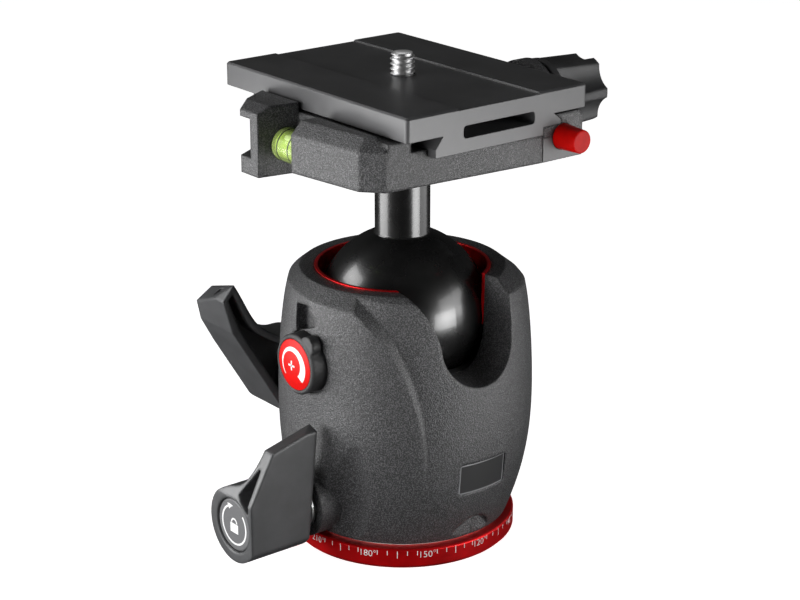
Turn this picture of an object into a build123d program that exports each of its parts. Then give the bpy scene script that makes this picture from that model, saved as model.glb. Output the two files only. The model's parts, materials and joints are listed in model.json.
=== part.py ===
from build123d import *
from math import atan2, cos, degrees, pi, radians, sin, sqrt, tan
import os

# Tripod ball head, in millimetres. The origin is the centre of the base disc's underside,
# +Z runs up the pan axis and +X points to the drop notch.
os.makedirs("parts", exist_ok=True)

# ---- shared clearances
FACE_GAP = 0.1          # between flat faces that slide on each other
RUN_GAP = 0.05          # radial running fit of a shaft in its bore
SEAT_GAP = 0.25         # between curved faces of pieces that move apart
PRESS_GAP = 0.02        # radial gap drawn in a press or thread fit

# ---- base disc and pan spindle
BASE_RADIUS = 30.0
BASE_HEIGHT = 5.5
BASE_CHAMFER = 0.9
BASE_TOP_CHAMFER = 0.4
TRIPOD_THREAD_RADIUS = 4.7625       # 3/8 inch
TRIPOD_THREAD_DEPTH = 13.0
THREAD_BUSH_WALL = 1.4
FOOT_RECESS = 0.2
SPINDLE_RADIUS = 8.95
SPINDLE_END_LENGTH = 0.5
SPINDLE_FLANGE_RADIUS = 17.0
SPINDLE_FLANGE_TOP = 2.5
FLANGE_SCREW_COUNT = 3
FLANGE_SCREW_CIRCLE = 13.0
FLANGE_SCREW_RADIUS = 1.5
FLANGE_SCREW_HEAD_RADIUS = 2.75
FLANGE_SCREW_HEAD_HEIGHT = 1.4
FLANGE_SCREW_LENGTH = 4.6
PAN_WASHER_OUTER = 26.8
PAN_WASHER_INNER = 18.5
PAN_WASHER_THICKNESS = 0.6
SPINDLE_SEAT_HEIGHT = 18.0
THRUST_WASHER_RADIUS = 11.6
THRUST_WASHER_THICKNESS = 0.7
CLIP_RADIUS = 11.0
CLIP_THICKNESS = 1.0
CLIP_GROOVE_DEPTH = 0.8
CLIP_MOUTH = 5.0

# ---- ball, neck and what holds the ball
BALL_RADIUS = 22.2
NECK_RADIUS = 7.2
NECK_FLARE = 2.4
NECK_FLARE_HEIGHT = 1.3
LINER_THICKNESS = 0.4
LINER_GAP = 0.2
LINER_HALF_ANGLE = 30.0
CUP_RIM_HEIGHT = 8.2
CUP_THICKNESS = 2.9
CUP_PAD_GAP = 0.7               # between the cup's rim and the friction pad above it
CUP_LIFT_GAP = 0.8              # between the cup and the lock block below it
CUP_CENTRE_RADIUS = 13.5
CUP_SPRING_OUTER = 22.0
CUP_SPRING_INNER = 15.5
CUP_SPRING_SHEET = 0.6
CUP_SPRING_ROOM = 1.8
LIFT_PIN_RADIUS = 3.9
WEDGE_RADIUS = 4.9
WEDGE_RATIO = 0.25              # rise of the wedge for each millimetre of its travel
WEDGE_RAMP_HEIGHT = 3.2
WEDGE_REACH = 7.0
WEDGE_TAIL = 12.6
WEDGE_FLOOR_GAP = 2.7           # between the spindle's end and the wedge
LOCK_BLOCK_ROOF = 1.7
LOCK_BLOCK_FLOOR_GAP = 1.2
LOCK_BLOCK_SKIRT = 1.9

# ---- housing casting
HOUSING_BOTTOM_RADIUS = 28.2
HOUSING_BELLY_RADIUS = 33.6
HOUSING_BELLY_HEIGHT = 35.0
HOUSING_SHOULDER_RADIUS = 31.0
HOUSING_SHOULDER_RISE = 4.7      # above the ball's centre
HOUSING_SIDE_LEAN = 0.3
BELLY_TAPER = 1.3
SHOULDER_TAPER = 2.6
FORM_MARGIN = 2.0               # extra length of the forms that are cut to size
HOUSING_LEAN = 1.8              # lean of the casting to +Y at its shoulder
PANEL_BELLY_RADIUS = 33.2
PANEL_SHOULDER_RADIUS = 30.2
PANEL_LEAN = 2.0                # how far the raised side panel stands out at its shoulder
PANEL_LEAN_ANGLE = -60.0
PANEL_BACK_ANGLE = -150.0
PANEL_FLAT = 31.4               # distance from the axis to the panel's flattened face
FRONT_FLAT = 31.2               # the same for the casting behind the panel
FLAT_SHARPNESS = 12             # how narrow the flattened face is
PANEL_STEP_SLOPE = 0.55
PANEL_STEP_RADIUS = 32.0        # distance from the axis at which the panel's edge curve is drawn
PANEL_STEP_LEAD = 8.0
SECTION_POINTS = 32
PANEL_SWEEP = ((-46, 75.6), (-28, 72.6), (-11, 69.4), (-0.4, 62.7), (5.7, 52.7), (9.4, 37.5), (8.6, 21.8),
               (3.5, 3))
RIM_RISE = 12.2                 # above the ball's centre
RIM_LAND = 3.8
SHOULDER_EDGE_RADIUS = 31.0
SHOULDER_EDGE_DROP = 3.3        # below the rim
SHOULDER_FALL = 1.25            # how steeply the casting falls outside its shoulder edge
LOCK_CHAMBER_RADIUS = 14.0
BALL_CHAMBER_RADIUS = 23.0
COLLAR_PAD_GAP = 3.5            # between the friction pad and the collar above it
COLLAR_STAND = 0.2              # above the rim
COLLAR_THROAT_RISE = 4.2        # above the ball's centre
NOTCH_HALF_WIDTH = 9.8
NOTCH_CENTRE_DROP = 0.9         # below the ball's centre
NOTCH_FLARE = 1.6
NOTCH_INNER_SPREAD = 0.4
NOTCH_RIGHT_SPREAD = 1.8
NOTCH_ROLL = ((4.6, 0.4, 1.0), (10.1, 2.6, 1.8), (15.1, 6.2, 2.8))   # rise, roll, more roll outside
NAME_PLATE_WIDTH = 15.2
NAME_PLATE_HEIGHT = 8.5
NAME_PLATE_THICKNESS = 0.9
NAME_PLATE_CORNER = 0.8
NAME_PLATE_SIDE = 0.6           # distance of the plate's middle from the X axis
NAME_PLATE_LEVEL = 24.7
NAME_PLATE_RADIUS = 32.75       # outer face of the plate at its own level
NAME_PLATE_LEAN = 0.09
INDEX_FACE = 28.0
INDEX_RADIUS = 6.2
INDEX_LEVEL = 6.2
POCKET_DEPTH = 3.4
POCKET_ROUND = 0.8
POCKET_OUTLINE = ((-4.3, 7.0), (-4.4, 14.7), (0.8, 15.3), (4.6, 10.6))   # side, rise above the friction knob
# The valley's sections: height, radius, direction, and how far it reaches inside the belly's radius.
VALLEY = ((46.0, 3.0, -55.5, 0.0), (31.0, 8.0, -62.0, 1.2), (17.0, 12.0, -66.5, 4.7), (6.0, 10.0, -67.0, 4.9))

# ---- pan lock
PAN_SHOE_ROOF = 0.8             # casting between the brake shoe and the spindle's seat
PAN_BOSS_RADIUS = 8.8
PAN_BOSS_FACE = 33.5
PAN_SHOE_RADIUS = 2.6
PAN_SCREW_RADIUS = 3.0
PAN_SCREW_RELIEF = 0.55
PAN_BUSH_WALL = 2.0
PAN_BUSH_SETBACK = 1.0
PAN_HUB_RADIUS = 10.1
PAN_HUB_OUTER = 55.0
PAN_LEVER_TIP_OUTER = 48.0
PAN_LEVER_TIP_INNER = 34.1
PAN_LEVER_HEEL_INNER = 37.6
PAN_LEVER_HEIGHT = 24.1
PAN_LEVER_TIP_DROP = 3.6
PAN_BLADE_SIDE = 8.2
PAN_BLADE_THICKNESS = 3.4

# ---- main ball lock
MAIN_BOSS_RADIUS = 8.4
MAIN_BOSS_FACE = 40.0
MAIN_SCREW_RADIUS = 4.0
MAIN_SCREW_RELIEF = 0.55
MAIN_BUSH_WALL = 2.4
MAIN_BUSH_START = 16.0
MAIN_HUB_RADIUS = 11.5
MAIN_HUB_OUTER = 60.0
MAIN_LEVER_INNER = 43.0
MAIN_LEVER_TIP_OUTER = 58.0
MAIN_LEVER_HEIGHT = 40.6
MAIN_LEVER_TIP_DROP = 5.4
MAIN_LEVER_ANGLE = 31.5
MAIN_BLADE_SIDE = 11.3
MAIN_TIP_SIDE = 8.6
MAIN_TIP_THICKNESS = 5.2
MAIN_HOLLOW_DEPTH = 7.0
LEVER_WALL = 1.8
LEVER_EDGE = 0.5
LEVER_STRAIGHT = 0.72          # share of a lever's height at which its straight side ends
CAP_RADIUS = 6.95
CAP_THICKNESS = 1.2
CAP_GROOVE = 0.35
CAP_SINK = 0.3
LEVER_WASHER_RADIUS = 6.4
LEVER_WASHER_THICKNESS = 1.1

# ---- friction knob
FRICTION_DROP = 7.7             # below the ball's centre
FRICTION_KNOB_RADIUS = 7.95
FRICTION_FACE = 35.0
FRICTION_SEAT = 29.8            # floor of the knob's recess in the casting
FRICTION_SCREW_RADIUS = 2.9
FRICTION_SCREW_RELIEF = 0.7
FRICTION_PAD_LENGTH = 4.6
EMBLEM_RADIUS = 6.7
EMBLEM_DOME = 1.0
EMBLEM_SEAT_DEPTH = 1.0
LUG_ANGLE = 52.0
LUG_REACH = 10.2
LUG_RADIUS = 2.6
LUG_LENGTH = 2.6

# ---- quick-release clamp
CLAMP_BOTTOM = 106.3
CLAMP_FLOOR = 113.3
CLAMP_END = 37.3
CLAMP_BACK = 34.0
CLAMP_SPLIT = 14.2
SPLIT_GAP = 0.25
RAIL_OUTER = 29.6
RAIL_TOP = 117.9
RAIL_END_STEP = 115.0
RAIL_END_START = 30.0
LEVEL_FRONT = 39.2
LEVEL_CORNER = 36.3
LEVEL_SIDE = 32.0
LEVEL_LEFT = 6.2
LEVEL_RIGHT = 33.9
LEVEL_CORNER_CUT = 4.9
LEVEL_TOP = 119.0
LEVEL_CHAMFER = 3.2
LEVEL_RIM_BACK = 31.3
BRACKET_FRONT = 40.9
BRACKET_RIGHT = 5.6
BRACKET_LEFT = 13.0
BRACKET_ROOT_RIGHT = 3.7
BRACKET_ROOT_LEFT = 19.6
BRACKET_BOTTOM = 102.6
BRACKET_TOP = 120.4
BRACKET_GROOVE_LOW = 107.0
BRACKET_GROOVE_HIGH = 117.0
BRACKET_WEB = 3.3
BRACKET_CHAMFER = 3.6
VIAL_RADIUS = 4.2
VIAL_WALL = 0.8
VIAL_SIDE = 33.6
VIAL_HEIGHT = 110.5
VIAL_START = -4.6
VIAL_LENGTH = 17.0
KNOB_HEIGHT = 111.0
KNOB_START = 45.0
KNOB_END = 63.6
KNOB_RADIUS = 10.2
KNOB_END_RADIUS = 9.2
KNOB_LOBES = 6
KNOB_SCALLOP_RADIUS = 6.2
KNOB_WAIST = 7.5
KNOB_COLLAR = 2.4
BOSS_RADIUS = 10.6
BOSS_END = 43.8
BOSS_START = 40.0
DRAW_SCREW_RADIUS = 1.9
DRAW_SCREW_START = 8.6
GUIDE_PIN_RADIUS = 1.6
GUIDE_PIN_SPACING = 32.0
GUIDE_PIN_HEIGHT = 109.8
GUIDE_PIN_START = 4.0
GUIDE_PIN_END = 23.4
GUIDE_SPRING_WIRE = 0.3
GUIDE_SPRING_LENGTH = 5.0
GUIDE_SPRING_SEAT = 0.6
GUIDE_SPRING_TURNS = 5
MOUNT_BOLT_RADIUS = 3.0
MOUNT_BOLT_HEAD_RADIUS = 5.2
MOUNT_BOLT_HEAD_HEIGHT = 3.8
MOUNT_BOLT_SINK = 0.3
MOUNT_BOLT_DEPTH = 12.0
MOUNT_BOLT_KEY = 2.5

# ---- moving jaw and release button
JAW_BACK = 33.0
JAW_OUTER = 27.4
JAW_TOP = 117.9
JAW_ARM_TOP = 115.4
JAW_ARM_HALF_WIDTH = 12.0
JAW_ARM_END = 40.5
JAW_EDGE = 1.2
END_BLOCK_START = 30.0
END_BLOCK_TOP = 112.4
BUTTON_SIDE = 20.9
BUTTON_HEIGHT = 112.0
BUTTON_RADIUS = 3.25
BUTTON_END_RADIUS = 2.95
BUTTON_END = 44.4
BUTTON_HEAD_START = 34.5
BUTTON_SHANK_RADIUS = 2.2
BUTTON_TRAVEL = 3.0
BUTTON_BUSH_START = 22.5
BUTTON_BUSH_END = 27.0
BUTTON_SPRING_WIRE = 0.35
BUTTON_SPRING_TURNS = 4
BUTTON_CLIP_THICKNESS = 0.8

# ---- camera plate
PLATE_LENGTH = 75.0
PLATE_WIDTH = 57.0
PLATE_THICKNESS = 6.0
PLATE_TOP = 124.4
FOOT_HALF_WIDTH = 19.9
FOOT_NECK_HALF_WIDTH = 17.6
FOOT_LIP = 2.0
FOOT_RIGHT_LIP = 1.2
FOOT_RIGHT_LIP_BOTTOM = 115.4
CHANNEL_HALF_WIDTH = 13.0
CHANNEL_DEPTH = 0.5
PLATE_EDGE = 0.5
END_SLOT_WIDTH = 22.6
END_SLOT_HEIGHT = 3.1
END_SLOT_LEVEL = 118.35
END_SLOT_DEPTH = 14.0
CAMERA_SCREW_RADIUS = 3.175         # 1/4 inch
CAMERA_SCREW_STAND = 5.1
CAMERA_SCREW_NECK_RADIUS = 2.35
CAMERA_SCREW_HEAD_RADIUS = 8.6
CAMERA_SCREW_HEAD_HEIGHT = 2.6
CAMERA_SCREW_SLOT = 1.6

# ---- planes that look inward at the head from its four sides
FRONT = Plane(origin=(0, 0, 0), x_dir=(1, 0, 0), z_dir=(0, -1, 0))
BACK = Plane(origin=(0, 0, 0), x_dir=(-1, 0, 0), z_dir=(0, 1, 0))
RIGHT = Plane(origin=(0, 0, 0), x_dir=(0, 1, 0), z_dir=(1, 0, 0))
LEFT = Plane(origin=(0, 0, 0), x_dir=(0, -1, 0), z_dir=(-1, 0, 0))


def tube(plane, low, high, outer, inner=0.0, centre=(0.0, 0.0), mode=Mode.ADD):
    """A round bar, ring or bore between two distances along a plane's normal."""
    with BuildSketch(plane.offset(low)) as section:
        with Locations(centre):
            Circle(outer)
            if inner > 0:
                Circle(inner, mode=Mode.SUBTRACT)
    extrude(section.sketch, amount=high - low, mode=mode)


def prism(plane, low, high, points, mode=Mode.ADD):
    """A straight-sided outline pulled between two distances along a plane's normal."""
    with BuildSketch(plane.offset(low)) as section:
        with BuildLine():
            Polyline(*points, close=True)
        make_face()
    extrude(section.sketch, amount=high - low, mode=mode)


def spin(points, mode=Mode.ADD):
    """A straight-sided profile (radius, height) turned about the pan axis."""
    with BuildSketch(Plane.XZ) as profile:
        with BuildLine():
            Polyline(*points, close=True)
        make_face()
    revolve(profile.sketch, axis=Axis.Z, mode=mode)


def spring(plane, low, length, radius, wire, turns, centre):
    """A compression spring as a helix of round wire with its ends inside its length."""
    start = plane.offset(low + wire).from_local_coords(Vector(*centre, 0))
    height = length - 2 * wire
    with BuildLine() as path:
        Helix(pitch=height / turns, height=height, radius=radius, center=start, direction=plane.z_dir)
    with BuildSketch(Plane(origin=path.line @ 0, z_dir=path.line % 0)) as section:
        Circle(wire)
    sweep(section.sketch, path=path.line, is_frenet=True)


def ball_shape(radius, mode=Mode.ADD):
    """A sphere about the ball's centre."""
    with BuildSketch(Plane.XZ) as profile:
        with BuildLine():
            CenterArc((0, ball_height), radius, -90, 180)
            Line((0, ball_height + radius), (0, ball_height - radius))
        make_face()
    revolve(profile.sketch, axis=Axis.Z, mode=mode)


def save(piece, name):
    """Label a finished piece and write it as its own STEP file."""
    piece.part.label = name
    export_step(piece.part, f"parts/{name}.step")


# ---- heights, stacked up from the base
washer_top = SPINDLE_SEAT_HEIGHT + THRUST_WASHER_THICKNESS
clip_bottom = washer_top + FACE_GAP * 2
clip_top = clip_bottom + CLIP_THICKNESS
spindle_top = clip_top + SPINDLE_END_LENGTH
housing_bottom = BASE_HEIGHT + PAN_WASHER_THICKNESS + FACE_GAP * 2
pan_lock_height = SPINDLE_SEAT_HEIGHT - PAN_SHOE_ROOF - PAN_SHOE_RADIUS
main_lock_height = spindle_top + WEDGE_FLOOR_GAP + WEDGE_RADIUS
lock_block_bottom = spindle_top + LOCK_BLOCK_FLOOR_GAP
lock_block_top = main_lock_height + WEDGE_RADIUS + LOCK_BLOCK_ROOF
liner_inner = BALL_RADIUS + LINER_GAP
liner_outer = liner_inner + LINER_THICKNESS
cup_sphere = liner_outer + LINER_GAP
cup_bottom = lock_block_top + CUP_LIFT_GAP
ball_height = cup_bottom + CUP_THICKNESS + cup_sphere
friction_height = ball_height - FRICTION_DROP
cup_top = friction_height - FRICTION_SCREW_RADIUS - CUP_PAD_GAP
cup_floor = cup_top - CUP_RIM_HEIGHT
ball_chamber_floor = cup_floor - CUP_SPRING_ROOM
collar_bottom = friction_height + FRICTION_SCREW_RADIUS + COLLAR_PAD_GAP
collar_throat = ball_height + COLLAR_THROAT_RISE
notch_centre = ball_height - NOTCH_CENTRE_DROP
shoulder_height = ball_height + HOUSING_SHOULDER_RISE
rim_height = ball_height + RIM_RISE
shoulder_edge_height = rim_height - SHOULDER_EDGE_DROP


# =============================================================== base and pan spindle
bush_radius = TRIPOD_THREAD_RADIUS + THREAD_BUSH_WALL

with BuildPart() as base_disc:
    tube(Plane.XY, 0, BASE_HEIGHT, BASE_RADIUS)
    chamfer(base_disc.edges().group_by(Axis.Z)[0], BASE_CHAMFER)
    chamfer(base_disc.edges().group_by(Axis.Z)[-1], BASE_TOP_CHAMFER)
    tube(Plane.XY, 0, SPINDLE_FLANGE_TOP, SPINDLE_FLANGE_RADIUS + FACE_GAP, mode=Mode.SUBTRACT)
    tube(Plane.XY, 0, BASE_HEIGHT, SPINDLE_RADIUS + PRESS_GAP, mode=Mode.SUBTRACT)
    with BuildSketch(Plane.XY.offset(SPINDLE_FLANGE_TOP)):
        with PolarLocations(FLANGE_SCREW_CIRCLE, FLANGE_SCREW_COUNT):
            Circle(FLANGE_SCREW_RADIUS + PRESS_GAP)
    extrude(amount=FOOT_RECESS + FLANGE_SCREW_LENGTH + FACE_GAP - SPINDLE_FLANGE_TOP, mode=Mode.SUBTRACT)
save(base_disc, "base_disc")

with BuildPart() as pan_spindle:
    tube(Plane.XY, FOOT_RECESS, SPINDLE_FLANGE_TOP, SPINDLE_FLANGE_RADIUS)
    tube(Plane.XY, FOOT_RECESS, spindle_top, SPINDLE_RADIUS)
    tube(Plane.XY, 0, TRIPOD_THREAD_DEPTH, bush_radius + PRESS_GAP, mode=Mode.SUBTRACT)
    tube(Plane.XY, clip_bottom - FACE_GAP, clip_top + FACE_GAP, SPINDLE_RADIUS + FACE_GAP,
         SPINDLE_RADIUS - CLIP_GROOVE_DEPTH, mode=Mode.SUBTRACT)
    with BuildSketch(Plane.XY):
        with PolarLocations(FLANGE_SCREW_CIRCLE, FLANGE_SCREW_COUNT):
            Circle(FLANGE_SCREW_RADIUS + FACE_GAP)
    extrude(amount=SPINDLE_FLANGE_TOP, mode=Mode.SUBTRACT)
    with BuildSketch(Plane.XY):
        with PolarLocations(FLANGE_SCREW_CIRCLE, FLANGE_SCREW_COUNT):
            Circle(FLANGE_SCREW_HEAD_RADIUS + FACE_GAP)
    extrude(amount=FOOT_RECESS + FLANGE_SCREW_HEAD_HEIGHT, mode=Mode.SUBTRACT)
save(pan_spindle, "pan_spindle")

with BuildPart() as thread_bush:
    tube(Plane.XY, 0, TRIPOD_THREAD_DEPTH, bush_radius, TRIPOD_THREAD_RADIUS)
save(thread_bush, "thread_bush")

with BuildPart() as flange_screws:
    for radius, length in ((FLANGE_SCREW_HEAD_RADIUS, FLANGE_SCREW_HEAD_HEIGHT),
                           (FLANGE_SCREW_RADIUS, FLANGE_SCREW_LENGTH)):
        with BuildSketch(Plane.XY.offset(FOOT_RECESS)):
            with PolarLocations(FLANGE_SCREW_CIRCLE, FLANGE_SCREW_COUNT):
                Circle(radius)
        extrude(amount=length)
    with BuildSketch(Plane.XY.offset(FOOT_RECESS)):
        with PolarLocations(FLANGE_SCREW_CIRCLE, FLANGE_SCREW_COUNT):
            RegularPolygon(FLANGE_SCREW_RADIUS * 0.75, 6)
    extrude(amount=FLANGE_SCREW_HEAD_HEIGHT, mode=Mode.SUBTRACT)
save(flange_screws, "flange_screws")

with BuildPart() as pan_washer:
    tube(Plane.XY, BASE_HEIGHT, BASE_HEIGHT + PAN_WASHER_THICKNESS, PAN_WASHER_OUTER, PAN_WASHER_INNER)
save(pan_washer, "pan_washer")

with BuildPart() as thrust_washer:
    tube(Plane.XY, SPINDLE_SEAT_HEIGHT, washer_top, THRUST_WASHER_RADIUS, SPINDLE_RADIUS + SEAT_GAP)
save(thrust_washer, "thrust_washer")

with BuildPart() as retaining_clip:
    tube(Plane.XY, clip_bottom, clip_top, CLIP_RADIUS, SPINDLE_RADIUS - CLIP_GROOVE_DEPTH + PRESS_GAP)
    with BuildSketch(Plane.XY.offset(clip_bottom)):
        with Locations((-CLIP_RADIUS, 0)):
            Rectangle(CLIP_RADIUS, CLIP_MOUTH)
    extrude(amount=CLIP_THICKNESS, mode=Mode.SUBTRACT)
save(retaining_clip, "retaining_clip")


# =============================================================== housing casting
belly_rise = shoulder_height - HOUSING_BELLY_HEIGHT
form_top = rim_height + FORM_MARGIN
form_reach = HOUSING_BELLY_RADIUS * 2
pan_bush_start = LOCK_CHAMBER_RADIUS + PAN_BUSH_SETBACK
pan_shoe_end = pan_bush_start - FACE_GAP * 2


def barrel(belly, shoulder, lean_x, lean_y, flat):
    """The casting's outer form: a loft through round sections that lean and are flattened at -Y."""
    waist = belly - (belly - shoulder) * 0.3
    sections = (
        (housing_bottom, HOUSING_BOTTOM_RADIUS, 0.0),
        (housing_bottom + (HOUSING_BELLY_HEIGHT - housing_bottom) / 2, belly - BELLY_TAPER, 0.2),
        (HOUSING_BELLY_HEIGHT, belly, 0.45),
        (HOUSING_BELLY_HEIGHT + belly_rise * 0.55, waist, 0.75),
        (shoulder_height, shoulder, 1.0),
        (form_top, shoulder - SHOULDER_TAPER, 1.0),
    )
    outlines = []
    for height, radius, share in sections:
        dent = max(0.0, radius - lean_y * share - flat)
        points = []
        for index in range(SECTION_POINTS):
            angle = 2 * pi * index / SECTION_POINTS
            reach = radius - dent * ((1 - sin(angle)) / 2) ** FLAT_SHARPNESS
            points.append((lean_x * share + reach * cos(angle), lean_y * share + reach * sin(angle)))
        with BuildSketch(Plane.XY.offset(height)) as outline:
            with BuildLine():
                Spline(*points, periodic=True)
            make_face()
        outlines.append(outline.sketch)
    loft(outlines)


# The raised side panel ends at a curve that sweeps down from the shoulder to the base. It is
# drawn on a plane that looks at the head from between -Y and +X, as (sideways, height).
sweep_angle = radians(-45.0)
sweep_out = Vector(cos(sweep_angle), sin(sweep_angle), 0)
sweep_right = Vector(-sin(sweep_angle), cos(sweep_angle), 0)
step = (Vector(0, 0, 1) + sweep_right) * PANEL_STEP_SLOPE - sweep_out
sweep_plane = Plane(origin=sweep_out * PANEL_STEP_RADIUS - step * PANEL_STEP_LEAD, x_dir=sweep_right,
                    z_dir=sweep_out)
with BuildPart() as front_region:
    with BuildSketch(sweep_plane):
        with BuildLine():
            sweep_curve = Spline(*PANEL_SWEEP)
            beyond, above = form_reach, form_top + FORM_MARGIN
            Polyline(sweep_curve @ 1, (beyond, PANEL_SWEEP[-1][1]), (beyond, above),
                     (PANEL_SWEEP[0][0], above), sweep_curve @ 0)
        make_face()
    extrude(amount=step.length * (PANEL_STEP_LEAD + PANEL_STEP_RADIUS / 2), dir=step)

panel_lean = radians(PANEL_LEAN_ANGLE)
back_line = radians(PANEL_BACK_ANGLE)
with BuildPart() as side_panel:
    barrel(PANEL_BELLY_RADIUS, PANEL_SHOULDER_RADIUS, PANEL_LEAN * cos(panel_lean),
           PANEL_LEAN * sin(panel_lean), PANEL_FLAT)
    add(front_region.part, mode=Mode.SUBTRACT)
    prism(Plane.XY, housing_bottom, form_top,
          [(0, 0), (form_reach * cos(back_line), form_reach * sin(back_line)), (-form_reach, form_reach),
           (form_reach, form_reach), (form_reach, 0)], mode=Mode.SUBTRACT)

with BuildPart() as housing_form:
    barrel(HOUSING_BELLY_RADIUS, HOUSING_SHOULDER_RADIUS, HOUSING_SIDE_LEAN, HOUSING_LEAN, FRONT_FLAT)
    add(side_panel.part)
    land = BALL_CHAMBER_RADIUS + RIM_LAND
    outside = SHOULDER_EDGE_RADIUS * 2
    spin([(0, rim_height), (land, rim_height), (SHOULDER_EDGE_RADIUS, shoulder_edge_height),
          (outside, shoulder_edge_height - (outside - SHOULDER_EDGE_RADIUS) * SHOULDER_FALL),
          (outside, form_top + FORM_MARGIN), (0, form_top + FORM_MARGIN)], mode=Mode.SUBTRACT)


def notch_outline(distance, half_width, right_spread, more_roll):
    """The drop notch's section at a distance along +X: round below, rolled outward at its left."""
    roll = [(-half_width - side - more * more_roll, notch_centre + rise)
            for rise, side, more in NOTCH_ROLL]
    with BuildSketch(RIGHT.offset(distance)) as outline:
        with BuildLine():
            bottom = CenterArc((0, notch_centre), half_width, 180, 180)
            Polyline(bottom @ 1, (half_width + right_spread, roll[-1][1]), roll[-1])
            Spline(roll[-1], roll[-2], roll[-3], bottom @ 0)
        make_face()
    return outline.sketch


with BuildPart() as notch_cut:
    inner_outline = notch_outline(BALL_CHAMBER_RADIUS * 0.6, NOTCH_HALF_WIDTH, NOTCH_INNER_SPREAD, 0)
    outer_outline = notch_outline(HOUSING_BELLY_RADIUS + FORM_MARGIN, NOTCH_HALF_WIDTH + NOTCH_FLARE,
                                  NOTCH_RIGHT_SPREAD, 1)
    loft([inner_outline, outer_outline], ruled=True)

# A shallow valley runs down the panel and ends beside the pan lock's boss.
with BuildPart() as valley:
    for height, radius, direction, depth in VALLEY:
        with BuildSketch(Plane.XY.offset(height)):
            with PolarLocations(PANEL_BELLY_RADIUS + radius - depth, 1, start_angle=direction):
                Circle(radius)
    loft()

with BuildPart() as name_plate_shell:
    plate_low = NAME_PLATE_LEVEL - NAME_PLATE_HEIGHT
    plate_high = NAME_PLATE_LEVEL + NAME_PLATE_HEIGHT
    slant = NAME_PLATE_LEAN * NAME_PLATE_HEIGHT
    inner_face = NAME_PLATE_RADIUS - NAME_PLATE_THICKNESS
    spin([(inner_face - slant, plate_low), (NAME_PLATE_RADIUS - slant, plate_low),
          (NAME_PLATE_RADIUS + slant, plate_high), (inner_face + slant, plate_high)])

with BuildPart() as name_plate_recess:
    with BuildSketch(RIGHT.offset(BALL_CHAMBER_RADIUS)):
        with Locations((NAME_PLATE_SIDE, NAME_PLATE_LEVEL)):
            RectangleRounded(NAME_PLATE_WIDTH, NAME_PLATE_HEIGHT, NAME_PLATE_CORNER)
    extrude(amount=HOUSING_BELLY_RADIUS)
    spin([(0, plate_low), (inner_face - slant, plate_low), (inner_face + slant, plate_high), (0, plate_high)],
         mode=Mode.SUBTRACT)

with BuildPart() as housing:
    add(housing_form.part)
    add(valley.part, mode=Mode.SUBTRACT)
    tube(FRONT, BALL_CHAMBER_RADIUS, PAN_BOSS_FACE, PAN_BOSS_RADIUS, centre=(0, pan_lock_height))
    tube(LEFT, BALL_CHAMBER_RADIUS, MAIN_BOSS_FACE, MAIN_BOSS_RADIUS, centre=(0, main_lock_height))
    tube(Plane.XY, 0, housing_bottom, BASE_RADIUS * 2, mode=Mode.SUBTRACT)
    spin([(0, housing_bottom), (SPINDLE_RADIUS + RUN_GAP, housing_bottom),
          (SPINDLE_RADIUS + RUN_GAP, SPINDLE_SEAT_HEIGHT), (LOCK_CHAMBER_RADIUS, SPINDLE_SEAT_HEIGHT),
          (LOCK_CHAMBER_RADIUS, ball_chamber_floor), (BALL_CHAMBER_RADIUS, ball_chamber_floor),
          (BALL_CHAMBER_RADIUS, form_top), (0, form_top)], mode=Mode.SUBTRACT)
    add(notch_cut.part, mode=Mode.SUBTRACT)
    add(name_plate_recess.part, mode=Mode.SUBTRACT)
    tube(RIGHT, INDEX_FACE, form_reach, INDEX_RADIUS, centre=(0, INDEX_LEVEL), mode=Mode.SUBTRACT)
    tube(FRONT, 0, pan_bush_start, PAN_SHOE_RADIUS + RUN_GAP, centre=(0, pan_lock_height),
         mode=Mode.SUBTRACT)
    tube(FRONT, pan_bush_start, PAN_BOSS_FACE, PAN_SCREW_RADIUS + PAN_BUSH_WALL + PRESS_GAP,
         centre=(0, pan_lock_height), mode=Mode.SUBTRACT)
    tube(LEFT, 0, MAIN_BOSS_FACE, MAIN_SCREW_RADIUS + MAIN_BUSH_WALL + PRESS_GAP,
         centre=(0, main_lock_height), mode=Mode.SUBTRACT)
    tube(FRONT, FRICTION_SEAT, HOUSING_BELLY_RADIUS * 2, FRICTION_KNOB_RADIUS + SEAT_GAP * 2,
         centre=(0, friction_height), mode=Mode.SUBTRACT)
    tube(FRONT, 0, FRICTION_SEAT, FRICTION_SCREW_RADIUS + RUN_GAP, centre=(0, friction_height),
         mode=Mode.SUBTRACT)
    with BuildSketch(FRONT.offset(PANEL_FLAT - POCKET_DEPTH)):
        with BuildLine():
            Polyline(*[(side, friction_height + rise) for side, rise in POCKET_OUTLINE], close=True)
        make_face()
        fillet(vertices(), POCKET_ROUND)
    extrude(amount=POCKET_DEPTH * 2, mode=Mode.SUBTRACT)
save(housing, "housing")

with BuildPart() as name_plate:
    with BuildSketch(RIGHT.offset(BALL_CHAMBER_RADIUS)):
        with Locations((NAME_PLATE_SIDE, NAME_PLATE_LEVEL)):
            RectangleRounded(NAME_PLATE_WIDTH - FACE_GAP * 2, NAME_PLATE_HEIGHT - FACE_GAP * 2,
                             NAME_PLATE_CORNER)
    extrude(amount=HOUSING_BELLY_RADIUS)
    add(name_plate_shell.part, mode=Mode.INTERSECT)
save(name_plate, "name_plate")

throat = sqrt((BALL_RADIUS + SEAT_GAP) ** 2 - (collar_throat - ball_height) ** 2)
with BuildPart() as collar:
    tube(Plane.XY, collar_bottom, rim_height + COLLAR_STAND, BALL_CHAMBER_RADIUS - RUN_GAP, throat)
    ball_shape(BALL_RADIUS + SEAT_GAP, mode=Mode.SUBTRACT)
    add(notch_cut.part, mode=Mode.SUBTRACT)
save(collar, "collar")


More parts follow.
